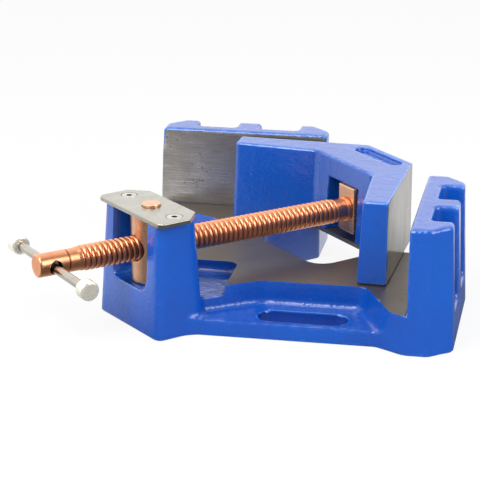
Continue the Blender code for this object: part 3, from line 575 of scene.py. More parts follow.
def painted_casting(name, planes, foot, slots=False):
    """Blue paint with bare milled planes.  A painted shadow darkens the last millimetre above the
    foot's height.  With slots, shade is painted into the rail slots and a highlight on their far rims."""
    made, tree, shader = start_material(name, Specular_IOR_Level=0.9)
    spot = node(tree, "ShaderNodeTexCoord")
    place = spot.outputs["Object"]
    edge = node(tree, "ShaderNodeAttribute", attribute_name="edge").outputs["Fac"]
    grain = use_group(tree, cast_grain, Position=place, Lumps=0.65)
    wear = use_group(tree, edge_wear_and_shade, Position=place, Edge=edge)
    bare, iron, lay, dull = milled_iron(tree, spot, planes)
    blue = blend_colour(tree, times(tree, grain.outputs["Tone"], 0.35), PAINT, THICK_PAINT_AND_SHADE)
    # Rubbed edges that face upwards turn light blue: partly worn paint, partly a painted highlight
    top_edge_sheen = ramp(tree, split(tree, spot.outputs["Normal"])["Z"], 0.25, 0.6, 0.1, 0.5)
    blue = blend_colour(tree, times(tree, wear.outputs["Rubbed"], top_edge_sheen), blue, THIN_PAINT_AND_HIGHLIGHT)
    # Concave corners darken: partly thick paint and dust, partly painted shade
    blue = blend_colour(tree, times(tree, wear.outputs["Corner_dust_and_shade"], 0.6), blue, THICK_PAINT_AND_SHADE)
    parts = split(tree, place)
    if slots:
        shade, rim = slot_masks(tree, parts)
        # Painted shade inside the rail slots, and a painted highlight along their far rims
        blue = blend_colour(tree, times(tree, shade, 0.9), blue, THICK_PAINT_AND_SHADE)
        blue = blend_colour(tree, times(tree, rim, 0.8), blue, THIN_PAINT_AND_HIGHLIGHT)
    # A painted shadow along the foot, in the millimetre above it
    foot_shadow = ramp(tree, parts["Z"], (foot + 0.2) * MM, (foot + 1.1) * MM, 0.85, 0.0)
    colour = blend_colour(tree, foot_shadow, blend_colour(tree, bare, blue, iron), FOOT_SHADOW)
    gloss = ramp(tree, grain.outputs["Tone"], 0.0, 1.0, 0.13, 0.22)
    relief = blend_value(tree, bare, times(tree, grain.outputs["Height"], GRAIN_HEIGHT),
                         times(tree, lay, LAY_HEIGHT))
    connect(tree, shader, Base_Color=colour, Metallic=times(tree, bare, 0.8),
            Roughness=blend_value(tree, bare, gloss, dull), Normal=bump(tree, relief))
    return made


# %% The two castings' paint
AXIS = math.pi / 4 + SWING
NO_FOOT_SHADOW = -2.0  # a height below the casting
V_SHIFT = turn_plan((0.0, JAW_OFFSET), AXIS)  # how far the V jaw stands beside the screw
V_AXES = [turn_plan((1.0, 0.0), SWING), turn_plan((0.0, 1.0), SWING)]
V_PLACES = [V_FACE + V_SHIFT[0] * n[0] + V_SHIFT[1] * n[1] for n in V_AXES]
# each row: direction, distance, iron, roughness, scale of the lay along X, Y and Z
bed_paint = painted_casting("painted_body", [
    ((0, 0, 1), BED_Z, BED_IRON, 0.36, (30.0, 700.0, 1.0)),
    ((0, -1, 0), -JAW_FACE, JAW_IRON, 0.22, (45.0, 1.0, 900.0)),
    ((-1, 0, 0), -JAW_FACE, JAW_IRON, 0.22, (1.0, 45.0, 900.0)),
    ((0, 0, -1), 0.0, BED_IRON, 0.4, (400.0, 30.0, 1.0))], NO_FOOT_SHADOW, slots=True)
# The V jaw's foot height, above which a painted shadow lies
jaw_paint = painted_casting("painted_jaw", [
    ((*V_AXES[0], 0), V_PLACES[0], SHADED_V_IRON, 0.10, (60.0, 260.0, 30.0)),
    ((*V_AXES[1], 0), V_PLACES[1], SHADED_V_IRON, 0.10, (260.0, 60.0, 30.0)),
    ((0, 0, -1), -V_BOTTOM, BED_IRON, 0.3, (30.0, 600.0, 1.0))], V_BOTTOM)
print("painted castings:", bed_paint.name, jaw_paint.name)

# %% [markdown]
# ## Plated and bright steel
#
# The screw, nut and block are plated with copper so that weld spatter doesn't stick. Copper over
# turned steel keeps the turning marks and goes darker where it is handled. The plate and the bar
# have a thinner, slightly warm zinc or nickel plating.

# %% Plated metal
# A dark brown painted as shade in the thread's roots and on socket floors
PAINTED_RECESS_SHADE = (0.035, 0.022, 0.015, 1)


def plated_metal(name, colour, stained, roughness, depth, axis_turn=0.0, metallic=1.0,
                 roots=None, recess=None):
    """A metal whose colour drifts towards a stained one, with turning marks of the given depth in
    metres.  Mapping turns the position so that X runs along the piece's own axis.  Shade is
    painted nearer to the screw's axis than the roots' radii, or lower than the recess's heights;
    each is a pair in millimetres, full shade to none."""
    made, tree, shader = start_material(name, Metallic=metallic)
    place = node(tree, "ShaderNodeTexCoord").outputs["Object"]
    own = node(tree, "ShaderNodeMapping", {"Vector": place, "Rotation": (0, 0, axis_turn)}).outputs[0]
    edge = node(tree, "ShaderNodeAttribute", attribute_name="edge").outputs["Fac"]
    marks = use_group(tree, turned_marks, Position=own)
    wear = use_group(tree, edge_wear_and_shade, Position=place, Edge=edge)
    rubbed = tuple(min(1.0, 1.12 * part) for part in colour)
    # Stains are the metal's own; darker concave corners are dust and painted shade; lighter edges are
    # wear
    for share, strength, tint in ((marks.outputs["Stain"], 0.55, stained),
                                  (wear.outputs["Corner_dust_and_shade"], 0.7, stained),
                                  (wear.outputs["Rubbed"], 0.4, rubbed)):
        colour = blend_colour(tree, times(tree, share, strength), colour, tint)
    parts = split(tree, own)
    # Painted shade in the thread's roots, inside the roots' radii
    if roots:
        up = math_node(tree, "SUBTRACT", parts["Z"], SCREW_Z * MM)
        side = math_node(tree, "POWER", parts["Y"], 2.0)
        reach = math_node(tree, "SQRT", math_node(tree, "MULTIPLY_ADD", up, up, side))
        past_face = math_node(tree, "GREATER_THAN", parts["X"], (HEAD_END + 1.5) * MM)
        deep = ramp(tree, reach, roots[0] * MM, roots[1] * MM, 1.0, 0.0)
        colour = blend_colour(tree, times(tree, deep, past_face), colour, PAINTED_RECESS_SHADE)
    # Painted shade below the recess's heights, on the floor of a socket
    if recess:
        deep = ramp(tree, parts["Z"], recess[0] * MM, recess[1] * MM, 1.0, 0.0)
        colour = blend_colour(tree, deep, colour, PAINTED_RECESS_SHADE)
    rough = ramp(tree, marks.outputs["Stain"], 0.0, 1.0, roughness, roughness + 0.14)
    height = times(tree, marks.outputs["Height"], depth)
    connect(tree, shader, Base_Color=colour, Roughness=rough, Normal=bump(tree, height))
    return made


# %% The plated finishes
# each row: name, colour, stained colour, roughness, depth of the marks, turn, metallic,
# radii of the roots' painted shade, heights of the recess's painted shade
along, across = -AXIS, -AXIS - math.pi / 2
metals = {finish[0]: plated_metal(*finish) for finish in (
    ("copper_thread", (0.86, 0.385, 0.205, 1), (0.58, 0.215, 0.105, 1), 0.27, 0.00002, along, 1.0,
     (6.9, 7.9)),
    ("copper_plate", (0.79, 0.465, 0.29, 1), (0.62, 0.32, 0.19, 1), 0.24, 0.00002, along, 0.85),
    ("bright_bar", (0.47, 0.44, 0.38, 1), (0.35, 0.32, 0.26, 1), 0.15, 0.000006, across),
    ("knob_steel", (0.90, 0.86, 0.77, 1), (0.70, 0.65, 0.56, 1), 0.18, 0.000008, across, 0.6),
    ("zinc_plate", (0.44, 0.43, 0.385, 1), (0.375, 0.36, 0.305, 1), 0.26, 0.00001, -math.pi / 4),
    ("socket_steel", (0.60, 0.58, 0.53, 1), (0.34, 0.31, 0.26, 1), 0.22, 0.00001, 0.0, 1.0, None,
     (PLATE_TOP - 1.1, PLATE_TOP - 0.5)),
    ("fastener_steel", (0.50, 0.48, 0.43, 1), (0.26, 0.23, 0.19, 1), 0.30, 0.00001),
    ("keeper_iron", (0.34, 0.31, 0.27, 1), (0.17, 0.13, 0.10, 1), 0.36, 0.00002, along))}
print("plated finishes:", list(metals))

# %% [markdown]
# ## The body casting
#
# One casting: a base with two rails, two ribbed jaws at a right angle and a tower. It is
# symmetrical about the line x = y, so every point is folded to one side of that line first
# and only half the outlines are needed. The order follows the foundry and then the mill:
# rough shape with its roundings, then the flat bed and jaw faces with crisp edges. In the
# formulas u and v are the folded x and y, s runs along the screw's line and e across it.

# %% The casting's outlines
PAST = 12.0  # how far a cut runs past the surface it opens


def casting_outline(spread):
    """Plan of the casting, leaning out by spread at the jaws' outsides.  Each corner has its own
    rounding; the last two only close the outline beyond the line of symmetry."""
    near, outer = JAW_NEAR - spread, JAW_FACE + JAW_DEPTH + spread
    wall = JAW_FACE + JAW_DEPTH - JAW_CHAMFER
    side = (TOWER_HALF - TOWER_DRAFT) / ROOT2
    half = [
        (side, -side, 0),
        (2 * side + RAIL_EDGE, RAIL_EDGE, 0),
        (RAIL_END, RAIL_EDGE, 14.0),
        (RAIL_END + RAIL_FLARE, near, 10.0),
        (wall, near, 5.0),
        (outer, near + JAW_CHAMFER, 7.0),
        (outer, JAW_FAR - JAW_CHAMFER, 7.0),
        (wall, JAW_FAR, 5.0),
        (JAW_FAR + SLOT_HALF * ROOT2, JAW_FAR, 4.0),
        ((SLOT_START + SLOT_HALF) / ROOT2, (SLOT_START - SLOT_HALF) / ROOT2, SLOT_RADIUS),
        ((SLOT_START - 30) / ROOT2, (SLOT_START + 30) / ROOT2, 0),
        (-32.0, 12.0, 0),
    ]
    return rounded(half)


def rib_pocket_outline(start, shrink):
    """Plan of the space between two ribs, open to the outside."""
    inner, outer = JAW_FACE + JAW_WALL + shrink, JAW_FACE + JAW_DEPTH + PAST
    low, high = start + shrink, start + RIB_GAP - shrink
    return rounded([(inner, low, 4.0), (outer, low, 0), (outer, high, 0), (inner, high, 4.0)])


def rail_hollow_outline(slope):
    """Plan of the hollow above a rail: from the tower round the bed and out to the jaw."""
    end, out = HOLLOW_END - 0.5 * slope, RAIL_END + RAIL_FLARE - 7.0 - slope
    return rounded([(HOLLOW_START - 40, RAIL_EDGE - 40, 0), (HOLLOW_START - 40, RAIL_EDGE - 10, 0),
                    (HOLLOW_TURN, HOLLOW_BACK, 16.0), (end, HOLLOW_BACK, 12.0),
                    (out, JAW_NEAR - 3, 6.0), (out + PAST, JAW_NEAR - 3, 0),
                    (out + PAST, RAIL_EDGE - 40, 0)])


def tower_outline(spread):
    """Half of the tower's plan in (s, e), along and across the screw."""
    front, back, side = -TOWER_FRONT - spread, TOWER_BACK + spread, TOWER_HALF + spread
    return rounded([(front, -20, 0), (back, -20, 0), (back, side, 9.0), (front, side, 6.0)])


outline_floor, outline_top = casting_outline(END_DRAFT), casting_outline(0.0)
outer_rib = (JAW_FAR - JAW_NEAR - RIB_WIDTH - 2 * RIB_GAP) / 2
pocket_starts = (JAW_NEAR + outer_rib, JAW_NEAR + outer_rib + RIB_GAP + RIB_WIDTH)
pocket_plans = [(rib_pocket_outline(y, POCKET_DRAFT), rib_pocket_outline(y, 0.0))
                for y in pocket_starts]
hollow_low, hollow_high = rail_hollow_outline(HOLLOW_DRAFT), rail_hollow_outline(0.0)
tower_low, tower_high = tower_outline(TOWER_DRAFT), tower_outline(0.0)
recess_low = TOWER_BACK * ROOT2 - RECESS_EDGE - 20.0
recess_plan = rounded([(RECESS_EDGE, recess_low, 0), (RECESS_EDGE, RECESS_EDGE, 8.0),
                       (recess_low, RECESS_EDGE, 0)])
print("rib pockets start", [round(y, 1) for y in pocket_starts], "mm along each jaw")

# %% The casting as a distance
TOP_ROUND, FOOT_ROUND = 3.0, 1.2
POCKET_FLOOR, POCKET_RIM = 5.0, 2.5
HOLLOW_FLOOR, HOLLOW_RIM, RAIL_SLOT_RIM = 4.5, 2.0, 1.5
RECESS_FLOOR, RECESS_RIM = 4.0, 0.6
TOWER_RIM, TOWER_FILLET, WINDOW_RIM = 1.0, 5.0, 1.1
WINDOW_REACH = 30.0  # past both faces of the tower
MILLED_RIM, WORN_RIM, WORN_FROM, WORN_OVER = 0.35, 2.0, 70.0, 10.0
BORE_ROOM = 0.6  # below the nut's lower journal


def casting(x, y, z):
    """Signed distance of the body casting in millimetres.  The edge of the milled space is crisp,
    and grows rounder near the jaws' tops, where it is knocked about."""
    u, v = np.maximum(x, y), np.minimum(x, y)
    s, e = (u + v) / ROOT2, (u - v) / ROOT2
    body = drafted(u, v, z, outline_floor, outline_top, 0.0, JAW_TOP)
    body = cut(body, z - JAW_TOP, TOP_ROUND)
    for low, high in pocket_plans:
        pocket = cut(drafted(u, v, z, low, high, LEDGE_Z, JAW_TOP), LEDGE_Z - z, POCKET_FLOOR)
        body = cut(body, -pocket, POCKET_RIM)
    hollow = cut(drafted(u, v, z, hollow_low, hollow_high, RAIL_Z, BED_Z), RAIL_Z - z, HOLLOW_FLOOR)
    body = cut(body, -hollow, HOLLOW_RIM)
    half = (RAIL_SLOT_END - RAIL_SLOT_START - RAIL_SLOT_WIDTH) / 2
    middle = (RAIL_SLOT_START + RAIL_SLOT_END) / 2
    past = np.maximum(np.abs(u - middle) - half, 0)
    slot = np.sqrt(past ** 2 + (v - RAIL_SLOT_Y) ** 2) - RAIL_SLOT_WIDTH / 2
    body = cut(body, -slot, RAIL_SLOT_RIM)
    recess = cut(plan(x, y, recess_plan), RECESS_Z - z, RECESS_FLOOR)
    body = cut(body, -recess, RECESS_RIM)
    milled = np.minimum(JAW_FACE - u, z - BED_Z)
    edge = MILLED_RIM + WORN_RIM * np.clip((z - WORN_FROM) / WORN_OVER, 0, 1)
    body = cut(body, milled, edge)
    relief = np.maximum(np.maximum(JAW_FACE - RELIEF_WIDTH - u, u - JAW_FACE), BED_Z - RELIEF_DEPTH - z)
    body = np.maximum(body, -relief)
    tower = drafted(s, e, z, tower_low, tower_high, 0.0, TOWER_Z)
    tower = cut(tower, z - TOWER_Z, TOWER_RIM)
    body = join(body, tower, TOWER_FILLET)
    across = np.maximum(e - WINDOW_HALF + WINDOW_CORNER, 0)
    down = np.maximum(SILL_Z + WINDOW_CORNER - z, 0)
    window = np.sqrt(across ** 2 + down ** 2) - WINDOW_CORNER
    window = np.maximum(window, np.abs(s) - WINDOW_REACH)
    body = cut(body, -window, WINDOW_RIM)
    body = cut(body, -z, FOOT_ROUND)
    bore = np.sqrt(x * x + y * y) - JOURNAL_RADIUS - FIT
    bore = np.maximum(bore, SILL_Z - JOURNAL_DEPTH - BORE_ROOM - z)
    return np.maximum(body, -np.maximum(bore, z - SILL_Z - 5))


# %% The casting's surface
CAST_SHARP = 50.0  # degrees between faces from which an edge stays crisp
STEP = 1.85
lines_xy = finer(-46.0, 216.0, STEP, JAW_FACE, JAW_FACE - RELIEF_WIDTH)
lines_z = finer(-2.0, 92.0, STEP, 0.0, BED_Z, BED_Z - RELIEF_DEPTH, JAW_TOP, TOWER_Z)
points, faces = skin(casting, lines_xy, lines_xy, lines_z)
body_casting = add_piece("body_cast_surface", points, faces, bed_paint, CAST_SHARP)
dress(body_casting, "base", "blue_paint", "body_casting")

# %% [markdown]
# ## The V jaw
#
# The moving jaw is a second casting, bent to a right angle so that its outsides face the two
# fixed jaws. It is shaped square to the axes, folded about x = y like the body, and then turned
# by the screw's swing. The milled outsides are plane cuts made after the rounding, as the mill
# makes them, and the pocket for the screw's block is cut last.

# %% The V jaw's surface
def v_jaw_outline(spread):
    """Plan of the cast inside of the V, its far sides left long for the milling planes."""
    web, root = (V_WEB - spread) * ROOT2, V_FACE - V_ARM_ROOT - spread
    end, past = V_NEAR - 0.6 * spread, V_FACE + 25
    return rounded([(web / 2 - 20, web / 2 + 20, 0), (root, web - root, 10.0),
                    (V_FACE - V_ARM - spread, end, 3.5), (past, end, 0), (past, past, 0),
                    (V_FACE - 25, past, 0)])


v_low, v_high = v_jaw_outline(V_DRAFT), v_jaw_outline(0.0)
V_TOP_ROUND, V_CORNER_ROUND, V_MILLED_RIM, V_FOOT_ROUND = 2.0, 0.5, 0.45, 0.6
V_SLOT_FLOOR, V_SLOT_RIM, V_POCKET_RIM = 1.6, 0.9, 1.2


def v_jaw(x, y, z):
    """Signed distance of the V jaw before it is turned and moved."""
    u, v = np.maximum(x, y), np.minimum(x, y)
    s, e = (u + v) / ROOT2, (u - v) / ROOT2
    body = drafted(u, v, z, v_low, v_high, V_BOTTOM, JAW_TOP)
    body = cut(body, z - JAW_TOP, V_TOP_ROUND)
    milled = cut(u - V_FACE, s - V_APEX / ROOT2, V_CORNER_ROUND)
    body = cut(body, milled, V_MILLED_RIM)
    body = cut(body, V_BOTTOM - z, V_FOOT_ROUND)
    past = np.maximum(e - V_SLOT_HALF + V_SLOT_RADIUS, 0)
    slot = np.sqrt(past ** 2 + (s - V_SLOT_S) ** 2) - V_SLOT_RADIUS
    body = cut(body, -cut(slot, JAW_TOP - V_SLOT_DEPTH - z, V_SLOT_FLOOR), V_SLOT_RIM)
    sides = np.maximum(e - POCKET_HALF, s - POCKET_BACK)
    low = np.maximum(sides, z - POCKET_TOP)
    high = np.maximum(np.maximum(sides, z - POCKET_TOP - FLANGE_RISE), FLANGE_START - FIT - s)
    body = cut(body, -np.minimum(low, high), V_POCKET_RIM)
    seat = np.maximum(e - KEEPER_HALF - FIT, s - POCKET_BACK - KEEPER_LAP - FIT)
    return np.maximum(body, -np.maximum(seat, z - KEEPER_TOP - FIT))


STEP_V = 1.15
lines_v = finer(18.0, 170.0, STEP_V, V_FACE)
lines_v_z = finer(26.0, 91.0, STEP_V, V_BOTTOM, KEEPER_TOP + FIT, JAW_TOP)
v_vertices, v_faces = skin(v_jaw, lines_v, lines_v, lines_v_z)
v_vertices = turn(v_vertices, SWING) + np.array([*V_SHIFT, 0.0])
moving_jaw = add_piece("v_jaw_surface", v_vertices, v_faces, jaw_paint, CAST_SHARP)
dress(moving_jaw, "v_jaw", "blue_paint", "moving_jaw")

# %% [markdown]
# ## The screw
#
# A right-hand trapezoidal thread, its crests rounded by rolling, between a plain head with a
# cross hole and a journal that turns in the block. The thread is a grid of columns round the
# axis. Each column starts a little further on than the one before, so that every crest is one
# continuous line of the mesh, and the last column meets the first one pitch further on.

# %% Surfaces of revolution
def along_screw(points):
    """Points laid out along X from the nut's axis, turned to the screw's own line and lifted to it."""
    return turn(points, AXIS) + np.array([0.0, 0.0, SCREW_Z])


def arc(place, radius, size, start, stop, steps=4):
    """(place, radius) pairs of a rounded rim: a circle of the given size about (place, radius)."""
    angle = np.radians(np.linspace(start, stop, steps + 1))
    return [(place + size * math.cos(t), radius + size * math.sin(t)) for t in angle]


def rings(profile, count):
    """Points of a profile of (place, radius) pairs turned about X: (place, r cos a, r sin a)."""
    place, radius = np.array(profile, float).T[:, :, None]
    angle = 2 * np.pi * np.arange(count) / count
    grid = np.broadcast_arrays(place, radius * np.cos(angle), radius * np.sin(angle))
    return np.stack(grid, 2).reshape(-1, 3)


def ring_faces(first, levels, count):
    """Quads between neighbouring rings whose points start at index first."""
    level, step = np.meshgrid(np.arange(levels - 1), np.arange(count), indexing="ij")
    one, two = first + level * count + step, first + level * count + (step + 1) % count
    return np.stack([one, two, two + count, one + count], 2).reshape(-1, 4).tolist()


def lathe(profile, count):
    """A closed turned surface: rings along X with a flat cap at each end."""
    caps = [list(range(count)), list(range((len(profile) - 1) * count, len(profile) * count))]
    return rings(profile, count), ring_faces(0, len(profile), count) + caps


print("half a ring of radius 8:", np.round(rings([(0.0, 8.0)], 6)[:4, 1:], 1).tolist())

# %% The screw's head and tail
HEAD_GROOVE_DEPTH, NECK_RADIUS, NECK_HALF, PIN_DEPTH = 0.6, 4.6, 1.8, 8.5


def head_profile(rim=1.4):
    """(place, radius) pairs from the head's face, over its rim and its groove, to the thread."""
    groove_end = HEAD_GROOVE + HEAD_GROOVE_WIDTH
    head = [(HEAD_END, 5.0), (HEAD_END, 6.2)] + arc(HEAD_END + rim, HEAD_RADIUS - rim, rim, 180, 90, 5)
    head += [(s, HEAD_RADIUS) for s in np.linspace(HEAD_END + 2.6, HEAD_GROOVE - 0.8, 16)]
    lip = [(-0.15, HEAD_RADIUS), (0.0, HEAD_RADIUS - 0.25), (0.15, HEAD_RADIUS - HEAD_GROOVE_DEPTH)]
    head += [(HEAD_GROOVE + s, radius) for s, radius in lip]
    head += [(groove_end - s, radius) for s, radius in lip[::-1]]
    return head + [(groove_end + 1.0, HEAD_RADIUS), (THREAD_START - 0.6, HEAD_RADIUS)]


def tail_profile(rim=0.5):
    """(place, radius) pairs from the thread over the collar to the journal, with a neck in it for
    the cross pins that hold it in the block."""
    stop, pin, collar = BLOCK_FRONT - FIT, BLOCK_FRONT + PIN_DEPTH, SCREW_RADIUS - rim
    tail = [(THREAD_END + 0.5, HEAD_RADIUS)] + arc(THREAD_END + 1.2, collar, rim, 180, 90, 3)
    tail += arc(stop - rim, collar, rim, 90, 0, 3) + [(stop, SPINDLE_RADIUS)]
    tail += [(pin - NECK_HALF, SPINDLE_RADIUS), (pin - NECK_HALF, NECK_RADIUS)]
    tail += [(pin + NECK_HALF, NECK_RADIUS), (pin + NECK_HALF, SPINDLE_RADIUS)]
    return tail + [(pin + 5.5, SPINDLE_RADIUS), (pin + 6.3, 5.2)]


print("rings on the head and the tail:", len(head_profile()), len(tail_profile()))

# %% The screw's surface
HOLE_INSET, HOLE_DROP = 0.7, 0.9  # the cross hole is a little smaller and lower than the solids' one


def screw_surface(count=64, per_turn=12):
    """Head rings, thread columns and tail rings in one skin.  The radius of the thread over one
    pitch is root + depth (1 - |2 t - 1| cubed) to the 0.7, and fades to the plain radius over the
    end turns.  Where the thread begins and ends, one face of many corners closes the step."""
    head, tail = head_profile(), tail_profile()
    turns = int((THREAD_END - THREAD_START) / PITCH) - 1
    place = np.arange(turns * per_turn + 1) / per_turn
    lift = (1 - np.abs(2 * (place % 1) - 1) ** 3) ** 0.7
    share = np.clip(np.minimum(place, turns - place) / 1.4, 0, 1)
    radius = HEAD_RADIUS + (SCREW_RADIUS - THREAD_DEPTH * (1 - lift) - HEAD_RADIUS) * share
    angle = 2 * np.pi * np.arange(count)[:, None] / count
    start = THREAD_START + PITCH * (place + np.arange(count)[:, None] / count)
    thread = np.stack([start, radius * np.cos(angle), radius * np.sin(angle)], 2)

    first, stations = len(head) * count, len(place)
    tail_first = first + count * stations
    column = first + np.arange(count * stations).reshape(count, stations)
    body = [column[:-1, :-1], column[:-1, 1:], column[1:, 1:], column[1:, :-1]]
    body = np.stack(body, 2).reshape(-1, 4)
    last, meets = column[-1], column[0, per_turn:]
    met = last[:stations - per_turn]
    seam = np.stack([met[:-1], met[1:], meets[1:], meets[:-1]], 1)
    rim, end = first - count + np.arange(count), tail_first + np.arange(count)
    near = np.stack([rim[:-1], rim[1:], column[1:, 0], column[:-1, 0]], 1)
    far = np.stack([column[:-1, -1], column[1:, -1], end[1:], end[:-1]], 1)
    steps = [[rim[-1], rim[0], *column[0, :per_turn + 1], column[-1, 0]],
             [end[0], end[-1], *column[-1, ::-1][:per_turn + 1], column[0, -1]]]
    faces = ring_faces(0, len(head), count) + ring_faces(tail_first, len(tail), count)
    faces += np.concatenate([body, seam, near, far]).tolist()
    faces += [[int(n) for n in step] for step in steps]
    last_ring = tail_first + (len(tail) - 1) * count
    faces += [list(range(count)), list(range(last_ring, last_ring + count))]
    return np.concatenate([rings(head, count), thread.reshape(-1, 3), rings(tail, count)]), faces


def drilled(piece, points, faces):
    """The piece with a shape cut out of it by an exact Boolean, applied at once."""
    tool = add_piece("drill", points, faces, piece.data.materials[0])
    step = piece.modifiers.new("hole", "BOOLEAN")
    step.operation, step.solver, step.object = "DIFFERENCE", "EXACT", tool
    solid = bpy.data.meshes.new_from_object(piece.evaluated_get(bpy.context.evaluated_depsgraph_get()))
    piece.modifiers.clear()
    bpy.data.objects.remove(tool)
    piece.data = solid
    return piece


screw_points, screw_faces = screw_surface()
screw_points = along_screw(screw_points)
screw = add_piece("screw_surface", screw_points, screw_faces, metals["copper_thread"], sharp=42.0)
hole_points, hole_faces = lathe([(s, BAR_HOLE_RADIUS - HOLE_INSET) for s in (-12.0, 12.0)], 48)
hole_points = hole_points[:, [1, 0, 2]] + np.array([BAR_S, 0.0, -HOLE_DROP])
dress(drilled(screw, along_screw(hole_points), hole_faces), "screw", "copper_plate", "screw_spindle")

# %% [markdown]
# ## Handle bar and knobs
#
# A plain bar slides through the head of the screw, and a knob pressed on each end keeps it in.
# Both are turned pieces, so each is one profile spun about the bar.

# %% Bar and knobs
def across_screw(points):
    """Points laid out along X, moved to the bar's line across the screw's head."""
    place = points[:, [1, 0, 2]] * np.array([-1.0, 1.0, 1.0])
    return along_screw(place + np.array([BAR_S, 0.0, BAR_RADIUS + FIT - BAR_HOLE_RADIUS]))


inner = BAR_HALF - KNOB_LENGTH
neck, neck_end = BAR_RADIUS - 0.9, BAR_HALF - 2
bar_end = [(inner - 0.2, BAR_RADIUS), (inner, BAR_RADIUS - 0.1), (inner, neck), (neck_end, neck)]
bar_profile = [(-s, radius) for s, radius in bar_end[::-1]]
bar_profile += [(s, BAR_RADIUS) for s in np.linspace(-inner + 4, inner - 4, 12)] + bar_end
bar_points, bar_faces = lathe(bar_profile, 40)
bar = add_piece("bar_surface", across_screw(bar_points), bar_faces, metals["bright_bar"])
dress(bar, "handle", "bright_steel", "handle_bar")


def knob_profile():
    """A drum with one well rounded rim on each side and a socket for the bar's neck."""
    rim, socket_end, socket = 1.9, KNOB_LENGTH - 2 + FIT, neck + FIT
    profile = [(socket_end, 0.6), (socket_end, socket), (0.0, socket), (0.0, neck + 1.2)]
    profile += arc(rim, KNOB_RADIUS - rim, rim, 180, 90, 6)
    profile += arc(KNOB_LENGTH - rim, KNOB_RADIUS - rim, rim, 90, 0, 6)
    return profile + [(KNOB_LENGTH, 2.5), (KNOB_LENGTH, 0.6)]


knob_points, knob_faces = lathe(knob_profile(), 48)
knob_points = knob_points + np.array([inner, 0.0, 0.0])
for side, name in ((1.0, "left"), (-1.0, "right")):
    placed = across_screw(knob_points * np.array([side, 1.0, 1.0]))
    knob = add_piece("knob_surface_" + name, placed, knob_faces, metals["knob_steel"])
    dress(knob, "handle", "bright_steel", "bar_knob_" + name)

# %% [markdown]
# ## Nut, block and top plate
#
# The nut is a barrel with a journal at each end, bored across for the screw. The block on the
# screw's end slides in the V jaw's pocket. The top plate is stamped from strip and held down by
# two countersunk socket screws. Each is small enough to be one distance with rounded cuts.

# %% Nut and block
BLOCK_BORE_DEPTH = 15.1


def nut(x, y, z):
    """A barrel between two journals, less the bore for the screw."""
    reach = np.sqrt(x * x + y * y)
    barrel = cut(reach - NUT_RADIUS, np.maximum(SILL_Z + FIT - z, z - TOWER_Z), 1.0)
    ends = np.maximum(SILL_Z - JOURNAL_DEPTH - z, z - PLATE_TOP - JOURNAL_PROUD)
    pin = cut(reach - JOURNAL_RADIUS, ends, 0.6)
    bore = np.sqrt(y * y + (z - SCREW_Z) ** 2) - SCREW_RADIUS - FIT
    return cut(np.minimum(barrel, pin), -bore, 0.5)


def block(x, y, z):
    """The block with its flange, less the bore for the screw's journal."""
    ends, sides = np.maximum(BLOCK_FRONT - x, x - BLOCK_BACK), np.abs(y) - BLOCK_HALF
    low = cut(cut(sides, ends, 0.7), np.maximum(BLOCK_LOW_Z - z, z - BLOCK_HIGH_Z), 0.7)
    flange = np.maximum(np.maximum(sides, x - BLOCK_BACK), FLANGE_START - x)
    flange = np.maximum(flange, np.maximum(BLOCK_LOW_Z - z, z - BLOCK_HIGH_Z - FLANGE_RISE))
    bore = np.sqrt(y * y + (z - SCREW_Z) ** 2) - SPINDLE_RADIUS - FIT
    return np.maximum(np.minimum(low, flange), -np.maximum(bore, x - BLOCK_FRONT - BLOCK_BORE_DEPTH))


nut_lines = span(-NUT_RADIUS, NUT_RADIUS, 0.6)
nut_heights = span(SILL_Z - JOURNAL_DEPTH, PLATE_TOP + JOURNAL_PROUD, 0.6, TOWER_Z)
nut_points, nut_faces = skin(nut, nut_lines, nut_lines, nut_heights)
nut_piece = add_piece("nut_surface", turn(nut_points, AXIS), nut_faces, metals["copper_plate"])
dress(nut_piece, "nut", "copper_plate", "trunnion_nut")
block_lines = [span(BLOCK_FRONT, BLOCK_BACK, 0.5, BLOCK_FRONT), span(-BLOCK_HALF, BLOCK_HALF, 0.5),
               span(BLOCK_LOW_Z, BLOCK_HIGH_Z + FLANGE_RISE, 0.5)]
block_points, block_faces = skin(block, *block_lines)
block_piece = add_piece("block_surface", turn(block_points, AXIS), block_faces, metals["copper_plate"])
dress(block_piece, "block", "copper_plate", "swivel_block")

# %% Top plate
plate_plan = rounded([
    (-PLATE_FRONT, -PLATE_HALF + PLATE_NICK, 1.5), (-PLATE_FRONT, PLATE_HALF - PLATE_NICK, 1.5),
    (-PLATE_FRONT + PLATE_NICK, PLATE_HALF, 1.5), (PLATE_BACK - PLATE_CHAMFER, PLATE_HALF, 1.5),
    (PLATE_BACK, PLATE_HALF - PLATE_CHAMFER, 1.5), (PLATE_BACK, -PLATE_HALF + PLATE_CHAMFER, 1.5),
    (PLATE_BACK - PLATE_CHAMFER, -PLATE_HALF, 1.5), (-PLATE_FRONT + PLATE_NICK, -PLATE_HALF, 1.5)], 4)
SINK_ROOM = 0.5  # between a screw's head and its countersink


def top_plate(x, y, z):
    """A flat plate, its top rim rounded by the stamping, with the journal's hole and two sinks."""
    body = cut(plan(x, y, plate_plan), z - PLATE_TOP, 0.7)
    body = cut(body, PLATE_LOW - z, 0.2)
    hole = np.sqrt(x * x + y * y) - JOURNAL_RADIUS - FIT
    reach = np.sqrt(x * x + (np.abs(y) - PLATE_SCREW_E) ** 2)
    sink = reach - (PLATE_SCREW_HEAD + SINK_ROOM) + np.maximum(PLATE_TOP - 0.6 - z, 0)
    return cut(cut(body, -hole, 0.35), -np.maximum(sink / ROOT2, PLATE_LOW - 1.0 - z), 0.15)


